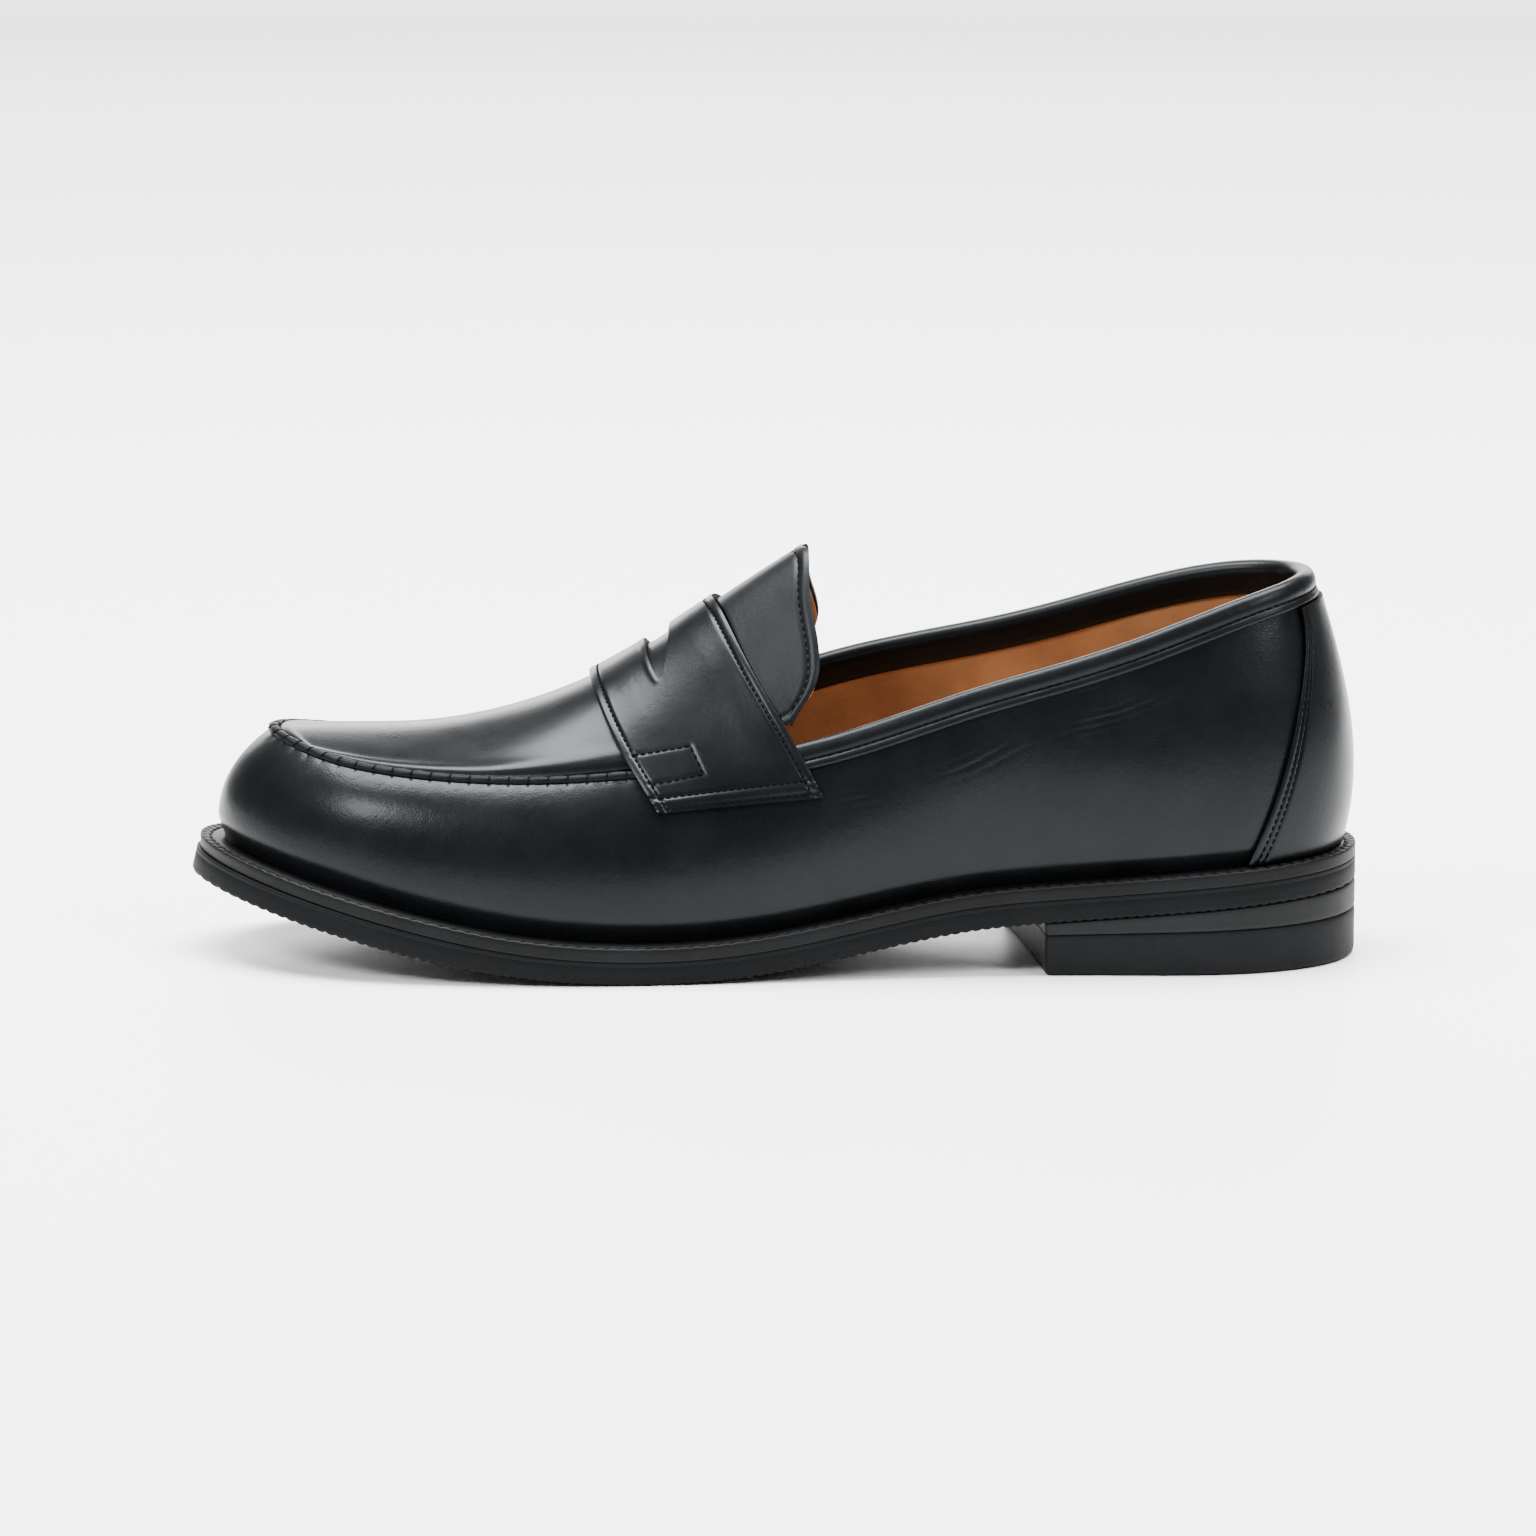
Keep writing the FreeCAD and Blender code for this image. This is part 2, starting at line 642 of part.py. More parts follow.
# The topline starts under the strap's rear edge on each side.
TOPLINE_START = STRAP_REAR + 16.5
topline_ends = {side: wall_place(TOPLINE_START, 1.0, side) for side in (-1, 1)}
COUNTER_EDGE = curve((0, 0.2, 0.4, 0.6, 0.8, 1.0), (120, 126, 130.5, 133.5, 134.5, 132))
STIFFENER_REACH, PUFF_REACH, SKIVE = 0.135, 0.085, 0.035
SKIVED_THICK = 0.12


def fade(at, centre, reach_share):
    """1 near the centre of a stiffening piece, down to 0 past its skived edge."""
    away = abs((at - centre + 0.5) % 1 - 0.5)
    return 1 - smooth((away - reach_share + SKIVE) / SKIVE)


def stiffening(at, rise):
    """Thickness of the heel stiffener or the toe puff, skived away at its edges."""
    high = 1 - smooth((rise - 0.78) / 0.14)
    heel = fade(at, 0.0, STIFFENER_REACH) * high
    toe = fade(at, TOE_AT, PUFF_REACH) * high
    return max(size("stiffener_thick") * (heel + toe), SKIVED_THICK)


def stiffener_inside(at, rise):
    return -LINING_OUT - stiffening(at, rise)


def lining_outside(at, rise):
    return -LINING_OUT - GAP - stiffening(at, rise)


def lining_inside(at, rise):
    return lining_outside(at, rise) - LINING


def on_cover(row, rise):
    """Counter cover: row -1 at its medial edge, 0 at the back, 1 at its lateral edge."""
    place = wall_place(COUNTER_EDGE(rise) * GRADE_X, rise, -1)
    return wall(row * place, rise)


rises = spread(FOOT, TOP, 9)
seam_rows = [0.0008, 0.0018, 0.0040, 0.0075]
wall_rows = seam_rows + spread(0.012, 0.988, 89) + [1 - at for at in reversed(seam_rows)]
layer("vamp_wall", wall, wall_rows, rises, 0.0, -UPPER)
layer("vamp_lining", wall, spread(topline_ends[-1] + 0.001, topline_ends[1] - 0.001, 61),
      rises, lining_outside, lining_inside)
layer("quarter_lining", wall, spread(topline_ends[1] - 0.999, topline_ends[-1] - 0.001, 61),
      rises, lining_outside, lining_inside)
layer("heel_stiffener", wall, spread(-STIFFENER_REACH, STIFFENER_REACH, 31),
      rises[:-1], -LINING_OUT, stiffener_inside)
layer("toe_puff", wall, spread(TOE_AT - PUFF_REACH, TOE_AT + PUFF_REACH, 31),
      rises[:-1], -LINING_OUT, stiffener_inside)


def topline_share(at, below):
    """The rise that lies this far below the guide."""
    step = 0.02
    return 1 - below * step / (wall(at, 1) - wall(at, 1 - step)).Length


cover_top = topline_share(0.0, size("binding_outside") + 0.4)
layer("counter_cover", on_cover, spread(-1, 1, 29), spread(FOOT, cover_top, 11),
      GAP + size("cover_thick"), GAP)

rows = [-26.0, -18.0, -10.0, -4.0] + spread(0, 0.965, 13)
columns = spread(-SEAM_EDGE, SEAM_EDGE, 15)
layer("apron", apron, rows, columns, 0.0, -UPPER)
layer("apron_lining", apron, rows, spread(-0.9, 0.9, 15), -LINING_OUT, -LINING_OUT - LINING)


def strap_x(back, share):
    """x at this share of the way down: back 0 is the front edge, 1 is the rear edge."""
    front_x = size("strap_front") + STRAP_FRONT_SWEEP * abs(share) ** 1.9
    rear_x = STRAP_REAR + STRAP_REAR_SWEEP * abs(share) ** 1.35
    return front_x + (rear_x - front_x) * back


STRAP_CORNERS = strap_x(0, 1), strap_x(1, 1)


@functools.lru_cache(None)
def strap_end(x, side):
    """The v where the strap's lower end lies at this x."""
    low, high = STRAP_ENDS[side]
    level = low + (high - low) * (x - STRAP_CORNERS[0]) / (STRAP_CORNERS[1] - STRAP_CORNERS[0])
    return find(lambda v: instep(x, side * v).z > level, 0.3, 0.98)


def side_of(share):
    return -1 if share < 0 else 1


def strap(forward, share):
    """Strap surface: forward 0 at the rear edge to 1 at the front, share -1 to 1 across."""
    x = strap_x(1 - forward, share)
    return instep(x, share * strap_end(round(x, 4), side_of(share)))


strap_low = GAP + 0.05
strap_high = strap_low + size("strap_thick")
blank = feature("strap_blank", layer_solid(strap, spread(0, 1, 7), spread(-1, 1, 33),
                                           strap_high, strap_low))
made.remove(blank)
SLOT_PLACE = size("strap_front") + 17.6
SLOT_SPAN, SLOT_BEND, SLOT_END = 0.36, 0.6, 0.8


def slot(forward, share):
    """Leaf-shaped penny slot: forward 0 at its rear edge to 1 at the front."""
    width = SLOT_END + (size("slot_width") - SLOT_END) * (1 - share * share)
    x = SLOT_PLACE + SLOT_BEND * share * share + (0.5 - forward) * width
    return instep(x, share * SLOT_SPAN * strap_end(round(x, 4), side_of(share)))


slot_tool = feature("slot_tool", layer_solid(slot, spread(0, 1, 4), spread(-1, 1, 13),
                                             strap_high + 1, strap_low - 1))
made.remove(slot_tool)
keep(cut("strap_cut", blank, slot_tool), "saddle_strap")

BACKING_FRONT, BACKING_TUCK = -17.5, 1.5
BACKING_SPAN = 0.68


def backing(forward, share):
    strap_share = share * BACKING_SPAN
    rear = strap_x(1, strap_share) - BACKING_TUCK
    x = rear + (BACKING_FRONT - rear) * forward
    return instep(x, strap_share * strap_end(round(x, 4), side_of(share)))


layer("strap_backing", backing, spread(0, 1, 6), spread(-1, 1, 21), 0.0, -UPPER)

# ------------------------------------------------------------------ the tongue
# How far the tongue's rear edge lies behind the strap's rear edge on the ridge, at
# shares of the way from the ridge to the tongue's corner.
TONGUE_REAR = curve((0.0, 0.10, 0.23, 0.37, 0.53, 0.70, 0.80, 0.88, 0.95, 1.0),
                    (21.9, 23.4, 24.0, 24.1, 25.4, 26.6, 26.3, 24.4, 21.5, 19.5))
TONGUE_SPAN, TONGUE_SKEW = 0.565, 0.035


def tongue(forward, share):
    """Free part of the tongue, behind the strap: forward 0 at its rear edge."""
    v = share * (TONGUE_SPAN - TONGUE_SKEW * share)
    rear = STRAP_REAR + TONGUE_REAR(abs(share))
    strap_share = abs(v) / strap_end(round(rear, 4), side_of(share))
    front_x = strap_x(1, strap_share) + size("tongue_gap")
    return instep(rear + (front_x - rear) * forward, v)


tongue_rows, tongue_columns = spread(0, 1, 6), spread(-0.985, 0.985, 31)
layer("tongue", tongue, tongue_rows, tongue_columns, 0.0, -UPPER)
layer("tongue_lining", tongue, spread(0.08, 1, 6), spread(-0.95, 0.95, 31),
      -LINING_OUT, -LINING_OUT - LINING)

# ------------------------------------------------------------------ edges and threads


STEP = 0.004


def guide_frame(at):
    """Point of the guide, and the outward, upward and forward directions there."""
    point = wall(at, 1)
    along = (wall(at + STEP, 1) - wall(at - STEP, 1)).normalize()
    out = (point - wall(at, 0.97)).cross(along).normalize()
    return point, out, out.cross(along) * -1, along


inside = -(UPPER + 3 * GAP + LINING)
leather = size("binding_thick")
# Cross-section of the folded binding: distance out from the wall's face, height.
binding_outline = (
    (GAP, -size("binding_outside")), (GAP + leather, -size("binding_outside")),
    (GAP + leather, 0.2), (GAP, 1.0), (inside / 2, 1.4), (inside, 1.0), (inside - leather, 0.2),
    (inside - leather, -size("binding_inside")), (inside, -size("binding_inside")),
    (inside, 0.1), (GAP, 0.1),
)
profiles = []
for at in spread(topline_ends[1] - 1, topline_ends[-1], 61):
    point, out, up, _ = guide_frame(at)
    profiles.append([point + out * depth + up * height for depth, height in binding_outline])
feature("topline_binding", ribbon_solid(profiles))

# Lip of the moccasin seam, from under the strap round the toe to the strap again.
SEAM_START = size("strap_front") + 12.0
seam_places = spread(wall_place(SEAM_START, 1.0, -1), wall_place(SEAM_START, 1.0, 1), 61)


def seam_frame(at):
    """Point on the seam, the way across it, the way out of it and the way along."""
    point, out, up, along = guide_frame(at)
    lift = (out * 0.45 + up * 0.55 + Vector(0, 0, 0.45)).normalize()
    return point, lift.cross(along).normalize(), lift, along


half = size("seam_width") / 2
LIP_DEPTH = 0.5
profiles = []
for at in seam_places:
    point, side, lift, _ = seam_frame(at)
    outline = ((-half, -LIP_DEPTH), (-half, 0.2), (-half * 0.45, size("seam_height")),
               (half * 0.45, size("seam_height")), (half, 0.2), (half, -LIP_DEPTH))
    profiles.append([point + side * a + lift * b for a, b in outline])
feature("apron_seam", ribbon_solid(profiles))

# Stitches over the lip: width along the seam, overhang past the lip, height, sunk part.
THREAD_WIDE, THREAD_OVER, THREAD_HIGH, THREAD_SUNK = 0.9, 0.5, 0.5, 0.2
stitches = []
length = sum((wall(b, 1) - wall(a, 1)).Length for a, b in zip(seam_places, seam_places[1:]))
count = int(length / size("apron_stitch_pitch"))
for at in spread(seam_places[0], seam_places[-1], count + 2)[1:-1]:
    point, side, lift, along = seam_frame(at)
    stitch = Part.makeBox(THREAD_WIDE, 2 * (half + THREAD_OVER), THREAD_HIGH)
    corner = (point - along * (THREAD_WIDE / 2) - side * (half + THREAD_OVER)
              + lift * (size("seam_height") - THREAD_SUNK))
    stitch.Placement = Placement(corner, Rotation(along, side, lift, "XYZ"))
    stitches.append(stitch)
feature("apron_stitches", Part.makeCompound(stitches))

# Cross-section of the welt's thread: distance out from its line, height above the welt.
welt_thread_outline = ((-0.4, GAP), (0.4, GAP), (0.4, GAP + 0.4), (-0.4, GAP + 0.4))
profiles = []
for at in spread(0.0, 0.999, 121):
    x, y, out_x, out_y = edge(at, size("welt_stitch_inset"))
    point, out = Vector(x, y, seat(x)), Vector(out_x, out_y, 0)
    profiles.append([point + out * a + Vector(0, 0, b) for a, b in welt_thread_outline])
feature("welt_thread", ribbon_solid(profiles))

# ------------------------------------------------------------------ build and write
doc.recompute()
for item in doc.Objects:
    if "Invalid" in item.State or "Error" in item.State:
        raise SystemExit(f"{item.Label} failed: {item.State}")
for item in made:
    if item.Shape.isNull() or not item.Shape.isValid():
        raise SystemExit(f"{item.Label} has no valid shape")
os.makedirs("parts", exist_ok=True)
for item in made:
    item.Shape.exportStep(f"parts/{item.Label}.step")
    print(item.Label, len(item.Shape.Solids), round(item.Shape.Volume))
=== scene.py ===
"""Penny loafer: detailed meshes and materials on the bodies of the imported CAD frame.

The upper is rebuilt from the same form as the CAD part, in millimetres, as dense grids
that carry the folds, seams, stitch channels and rolled edges; mesh_object turns them
into metres.  The CAD pieces inside the shoe stay, with their own materials.
"""
import math

import bmesh
import bpy
import numpy as np
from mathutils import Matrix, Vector


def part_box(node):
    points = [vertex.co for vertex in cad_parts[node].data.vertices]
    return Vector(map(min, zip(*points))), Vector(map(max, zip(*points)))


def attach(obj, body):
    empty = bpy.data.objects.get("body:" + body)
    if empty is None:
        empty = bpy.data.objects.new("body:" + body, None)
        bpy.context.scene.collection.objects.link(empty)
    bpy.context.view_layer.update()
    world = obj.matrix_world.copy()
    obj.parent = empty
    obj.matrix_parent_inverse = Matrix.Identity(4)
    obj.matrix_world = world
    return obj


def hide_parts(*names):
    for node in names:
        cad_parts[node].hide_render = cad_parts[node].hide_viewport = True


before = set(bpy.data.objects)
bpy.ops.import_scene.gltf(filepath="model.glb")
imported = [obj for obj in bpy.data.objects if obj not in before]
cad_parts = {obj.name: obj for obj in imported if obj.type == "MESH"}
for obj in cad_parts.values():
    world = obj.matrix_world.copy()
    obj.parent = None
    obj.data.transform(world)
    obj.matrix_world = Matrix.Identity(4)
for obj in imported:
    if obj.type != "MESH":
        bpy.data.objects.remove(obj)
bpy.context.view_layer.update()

MM = 0.001
RANDOM = np.random.default_rng(7)

# ---- thicknesses, mm
UPPER, LINING, GAP = 1.5, 0.9, 0.25
WELT, OUTSOLE = 3.6, 6.0
STIFFENER = 1.2
STRAP_LOW, STRAP = 0.30, 1.55
COVER = 1.4

# ---- the form
PATTERN_LENGTH, PATTERN_WIDTH = 299.15, 101.65
sole_low, sole_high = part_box("outsole")
GRADE_X = (sole_high.x - sole_low.x) / MM / PATTERN_LENGTH
GRADE_Y = (sole_high.y - sole_low.y) / MM / PATTERN_WIDTH

# Sole edge x, y; guide x, y, height above the welt; low bulge and its share of the
# height; high bulge and its share: heel, lateral side, toe, medial side.
STATIONS = np.array((
    (150, 0, 137.3, 0, 70.0, 7.0, 0.35, 6.5, 0.30),
    (143.5, -20.5, 132.5, -14, 69.3, 6.8, 0.35, 7.0, 0.30),
    (122, -34.5, 117, -23, 66.1, 5.5, 0.35, 6.5, 0.30),
    (90, -37, 90, -28.5, 58.6, 5.5, 0.35, 5.0, 0.30),
    (55, -37.5, 55, -31.5, 51.2, 6.0, 0.35, 5.0, 0.30),
    (15, -43, 15, -33, 45.6, 5.0, 0.35, 6.0, 0.30),
    (-20, -48.5, -20, -33, 43.5, 4.0, 0.40, 8.0, 0.25),
    (-52, -50.8, -50, -32.5, 40.0, 3.0, 0.45, 10.0, 0.20),
    (-85, -48, -80, -30.5, 35.7, 2.4, 0.50, 10.0, 0.20),
    (-115, -38.5, -106, -23.5, 32.2, 2.2, 0.50, 9.0, 0.20),
    (-135.5, -22, -120.5, -12, 31.8, 2.0, 0.50, 8.0, 0.20),
    (-147, 4, -127.5, 4, 32.2, 2.0, 0.50, 8.0, 0.20),
    (-138.5, 27, -121, 19.5, 31.8, 2.0, 0.50, 8.0, 0.20),
    (-118, 42, -106, 28.5, 32.8, 2.2, 0.50, 9.0, 0.20),
    (-85, 50, -80, 33.5, 36.8, 2.4, 0.50, 10.0, 0.20),
    (-52, 50.2, -50, 34, 43.2, 3.0, 0.45, 10.0, 0.20),
    (-20, 44, -20, 33, 50.5, 4.0, 0.40, 8.0, 0.25),
    (18, 35.5, 18, 31.5, 57.2, 5.0, 0.35, 5.5, 0.30),
    (55, 33, 55, 30.5, 58.5, 6.5, 0.35, 5.0, 0.30),
    (90, 34.8, 90, 28, 65.2, 6.0, 0.35, 5.0, 0.30),
    (122, 34, 117, 23, 69.6, 5.5, 0.35, 6.5, 0.30),
    (143.5, 20.5, 132.5, 14, 70.0, 6.8, 0.35, 7.0, 0.30),
))
TOE_STATION = 11
UNDERSIDE = ((-150, 21.3), (-125, 15.3), (-95, 8.1), (-65, 2.3), (-35, 0), (-5, 1.5),
             (25, 6.8), (50, 11.4), (75, 13.7), (110, 16.4), (150, 19.4))
RIDGE = ((-127.5, 4, 32.2), (-110, 4, 36.7), (-90, 4, 42.0), (-70, 3.5, 49.3),
         (-50, 3, 58.4), (-30, 2.5, 70.0), (-10, 2, 82.6), (12, 1.5, 93.7))
APRON_JOIN, APRON_BLEND = -45.0, 30.0
TOE_CORNERS = (0.452, 0.552)
FOOT = 0.012


def spline(knots, values, closed=False):
    """C2 cubic through the values, for arrays; straight on past open ends."""
    knots, values = np.array(knots, float), np.array(values, float)
    step = np.diff(knots)
    slope = np.diff(values) / step
    count = len(knots) - 1 if closed else len(knots)
    matrix, right = np.zeros((count, count)), np.zeros(count)
    for i in range(count):
        if not closed and i in (0, count - 1):
            matrix[i, i] = 1
            continue
        matrix[i, i - 1] += step[i - 1]
        matrix[i, i] += 2 * (step[i - 1] + step[i])
        matrix[i, (i + 1) % count] += step[i]
        right[i] = 6 * (slope[i] - slope[i - 1])
    bend = np.linalg.solve(matrix, right)
    if closed:
        bend = np.append(bend, bend[0])

    def at(place):
        place = np.asarray(place, float)
        if closed:
            place = knots[0] + (place - knots[0]) % (knots[-1] - knots[0])
        inside = np.clip(place, knots[0], knots[-1])
        i = np.clip(np.searchsorted(knots, inside, side="right") - 1, 0, len(step) - 1)
        d = step[i]
        low, high = (knots[i + 1] - inside) / d, (inside - knots[i]) / d
        value = low * values[i] + high * values[i + 1]
        value = value + ((low**3 - low) * bend[i] + (high**3 - high) * bend[i + 1]) * d**2 / 6
        low_end = slope[i] - (2 * bend[i] + bend[i + 1]) * d / 6
        high_end = slope[i] + (bend[i] + 2 * bend[i + 1]) * d / 6
        return value + np.where(place < inside, low_end, high_end) * (place - inside)

    return at


def matched(a, b):
    return np.broadcast_arrays(np.asarray(a, float), np.asarray(b, float))


def smooth(share):
    share = np.clip(share, 0.0, 1.0)
    return share * share * (3 - 2 * share)


def bump(distance, width):
    """1 on a line, fading to 0 over about this width each side of it."""
    return np.exp(-((distance / width) ** 2))


under_raw = spline([x * GRADE_X for x, _ in UNDERSIDE], [z for _, z in UNDERSIDE])
TREAD = float(np.min(under_raw(np.linspace(-70, 10, 161))))


def under(x):
    return under_raw(x) - TREAD


def seat(x):
    return under(x) + OUTSOLE + WELT


spans = np.hypot(*(np.roll(STATIONS[:, :2], -1, axis=0) - STATIONS[:, :2]).T)
STATION_AT = np.append(0, np.cumsum(spans)) / spans.sum()
TOE_AT = STATION_AT[TOE_STATION]


def run_along(points):
    """Length along a path at each of its points."""
    return np.append(0, np.cumsum(np.linalg.norm(np.diff(points, axis=0), axis=-1)))


def round_shoe(column, grade=1.0):
    values = STATIONS[:, column] * grade
    return spline(STATION_AT, np.append(values, values[0]), closed=True)


edge_x, edge_y = round_shoe(0, GRADE_X), round_shoe(1, GRADE_Y)
guide_x, guide_y, guide_rise = round_shoe(2, GRADE_X), round_shoe(3, GRADE_Y), round_shoe(4)
low_width, low_share, high_width, high_share = (round_shoe(column) for column in (5, 6, 7, 8))
ridge_y = spline([x for x, _, _ in RIDGE], [y for _, y, _ in RIDGE])
ridge_rise = spline([x for x, _, _ in RIDGE], [z for _, _, z in RIDGE])


def ridge_z(x):
    return seat(x) + ridge_rise(x)


def edge(at, inset=0.0):
    """Sole edge moved in by the inset, and the way out: x, y, out x, out y."""
    tiny = 1e-4
    dx = edge_x(at + tiny) - edge_x(at - tiny)
    dy = edge_y(at + tiny) - edge_y(at - tiny)
    length = np.hypot(dx, dy)
    out_x, out_y = -dy / length, dx / length
    return edge_x(at) - out_x * inset, edge_y(at) - out_y * inset, out_x, out_y


def reach(at):
    fore = smooth((60 - edge_x(at)) / 80)
    toe = smooth((-115 - edge_x(at)) / 30)
    return 5.0 + 1.6 * (fore - toe)


def wall(at, rise):
    """Outer face of the upper: at round the shoe, rise 0 at the welt to 1 at the guide."""
    at, rise = matched(at, rise)
    x, y, out_x, out_y = edge(at, reach(at))
    low = seat(x)
    gx, gy = guide_x(at), guide_y(at)
    high = seat(gx) + guide_rise(at)
    height = high - low
    poles = (
        (x, y, low),
        (x + out_x * low_width(at), y + out_y * low_width(at), low + low_share(at) * height),
        (gx + out_x * high_width(at), gy + out_y * high_width(at), high - high_share(at) * height),
        (gx, gy, high),
    )
    rest = 1 - rise
    weights = (rest**3, 3 * rest**2 * rise, 3 * rest * rise**2, rise**3)
    return np.stack([sum(w * p[i] for w, p in zip(weights, poles)) for i in range(3)], -1)


def find(test, low, high, rounds=36):
    """Elementwise: the place between low, where test holds, and high, where it doesn't."""
    for _ in range(rounds):
        middle = (low + high) / 2
        holds = test(middle)
        low, high = np.where(holds, middle, low), np.where(holds, high, middle)
    return low


def wall_place(x, rise, side):
    """Place round the shoe where the wall, at this rise, has this x."""
    if side < 0:
        return find(lambda at: wall(at, rise)[..., 0] > x, 0.001, TOE_AT - 0.01)
    return find(lambda at: wall(at, rise)[..., 0] < x, TOE_AT + 0.01, 0.999)


class Instep:
    """Sections across the instep, tabled along x and across v, read smoothly between."""

    X0, X1, STEP, ACROSS = -90.0, 34.0, 2.0, 240

    def __init__(self):
        self.xs = np.arange(self.X0, self.X1 + 1e-6, self.STEP)
        self.vs = np.linspace(-1.05, 1.05, self.ACROSS + 1)
        rises = np.array((0.4, 0.6, 0.8, 1.0))
        sides = [wall(wall_place(self.xs[:, None], rises, side), rises) for side in (-1, 1)]
        self.table = np.zeros((len(self.xs), len(self.vs), 2))
        ends = np.zeros((len(self.xs), 2))
        for k, x in enumerate(self.xs):
            top = np.array((ridge_y(x), ridge_z(x)))
            lateral, medial = sides[0][k, :, 1:], sides[1][k, :, 1:]
            shoulders = []
            for seam in (lateral[-1], medial[-1]):
                half = top[0] - seam[0]
                lift = 0.60 * (top[1] - seam[1]) + 0.06 * abs(half)
                shoulders.append(seam + np.array((0.48 * half, lift)))
            points = np.vstack((lateral, shoulders[0], top, shoulders[1], medial[::-1]))
            length = run_along(points)
            middle, whole = length[5], length[-1]
            places = (length - middle) / np.where(length < middle, middle, whole - middle)
            for axis in (0, 1):
                self.table[k, :, axis] = spline(places, points[:, axis])(self.vs)
            ends[k] = -places[3], places[7]
        self.lateral, self.medial = spline(self.xs, ends[:, 0]), spline(self.xs, ends[:, 1])

    @staticmethod
    def weights(t):
        return (((-t + 2) * t - 1) * t / 2, ((3 * t - 5) * t * t + 2) / 2,
                ((-3 * t + 4) * t + 1) * t / 2, (t - 1) * t * t / 2)

    def __call__(self, x, v):
        x, v = matched(x, v)
        fx, fv = (x - self.X0) / self.STEP, (v - self.vs[0]) / (self.vs[1] - self.vs[0])
        i = np.clip(np.floor(fx).astype(int), 1, len(self.xs) - 3)
        j = np.clip(np.floor(fv).astype(int), 1, len(self.vs) - 3)
        wi, wj = self.weights(fx - i), self.weights(fv - j)
        flat = sum(a[..., None] * b[..., None] * self.table[i + p - 1, j + q - 1]
                   for p, a in enumerate(wi) for q, b in enumerate(wj))
        return np.stack((x, flat[..., 0], flat[..., 1]), -1)

    def across(self, x, v):
        """v of a section for an apron share: -1 at the lateral seam, 1 at the medial."""
        return v * np.where(v < 0, self.lateral(x), self.medial(x))


instep = Instep()
JOINS = [float(wall_place(APRON_JOIN, 1.0, side)) for side in (-1, 1)]


def apron_flat(u, v):
    share = ((v + 1) / 2)[..., None]
    toe = wall(TOE_CORNERS[0] + (TOE_CORNERS[1] - TOE_CORNERS[0]) * share[..., 0], 1)
    rear = instep(APRON_JOIN, instep.across(APRON_JOIN, v))
    sides = []
    for join, corner in zip(JOINS, TOE_CORNERS):
        side = wall(join + (corner - join) * u, 1)
        sides.append(side - wall(join, 1) * (1 - u[..., None]) - wall(corner, 1) * u[..., None])
    blend = sides[0] * (1 - share) + sides[1] * share
    return blend + rear * (1 - u[..., None]) + toe * u[..., None]


def apron(u, v):
    """Crowned apron: u 0 at the join to 1 at the toe; negative u goes on in mm of x."""
    u, v = matched(u, v)
    ahead = np.clip(u, 0, 1)
    point, middle = apron_flat(ahead, v), apron_flat(ahead, np.zeros_like(v))
    point[..., 2] += (ridge_z(middle[..., 0]) - middle[..., 2]) * (1 - v * v)
    blend = smooth((point[..., 0] - APRON_JOIN + APRON_BLEND) / APRON_BLEND)[..., None]
    x = np.where(u < 0, APRON_JOIN - u, point[..., 0])
    over = instep(x, instep.across(x, v))
    return np.where(u[..., None] < 0, over, point * (1 - blend) + over * blend)


# ---- strap and tongue
STRAP_FRONT, STRAP_REAR = -46.0, -14.5
FRONT_SWEEP, REAR_SWEEP = 17.4, 27.7
STRAP_ENDS = {-1: (42.0, 46.0), 1: (46.0, 54.0)}


def strap_x(back, share):
    front = STRAP_FRONT + FRONT_SWEEP * np.abs(share) ** 1.9
    rear = STRAP_REAR + REAR_SWEEP * np.abs(share) ** 1.35
    return front + (rear - front) * back


ENDS_FRONT, ENDS_BACK = float(strap_x(0, 1)), float(strap_x(1, 1))


def make_strap_end(side):
    xs = np.arange(-50.0, 30.1, 2.0)
    front, back = STRAP_ENDS[side]
    level = front + (back - front) * (xs - ENDS_FRONT) / (ENDS_BACK - ENDS_FRONT)
    v = find(lambda v: instep(xs, side * v)[..., 2] > level, 0.3, 0.98)
    return spline(xs, v)


strap_ends = {side: make_strap_end(side) for side in (-1, 1)}


def strap_end(x, share):
    return np.where(share < 0, strap_ends[-1](x), strap_ends[1](x))


def on_strap(share, x):
    return instep(x, share * strap_end(x, share))


# ---- meshes
def spread(low, high, step):
    return np.linspace(low, high, max(2, int(round(abs(high - low) / step)) + 1))


def spreads(*parts):
    return np.concatenate([spread(*part) for part in parts])


def refined(low, high, step, marks, fine, width):
    """Places from low to high, closer together within a width of the marks."""
    places, here = [low], low
    while here < high:
        near = any(abs(here - mark) < width for mark in marks)
        here += fine if near else step
        places.append(min(here, high))
    if places[-1] - places[-2] < fine / 2:
        places.pop(-2)
    return np.array(places)


def unit(vectors):
    return vectors / np.maximum(np.linalg.norm(vectors, axis=-1, keepdims=True), 1e-12)


def normals(grid, closed=False):
    """Outward normals of a grid of the form; closed where it runs round the shoe."""
    along = np.gradient(grid, axis=0)
    if closed:
        along = np.roll(grid, -1, axis=0) - np.roll(grid, 1, axis=0)
    return unit(np.cross(np.gradient(grid, axis=1), along))


def grid_faces(rows, columns, closed=False, across=False):
    i = np.arange(rows if closed else rows - 1)
    j = np.arange(columns if across else columns - 1)
    i, j = np.meshgrid(i, j, indexing="ij")
    ni, nj = (i + 1) % rows, (j + 1) % columns
    quads = np.stack((i * columns + j, i * columns + nj, ni * columns + nj, ni * columns + j), -1)
    return quads.reshape(-1, 4)


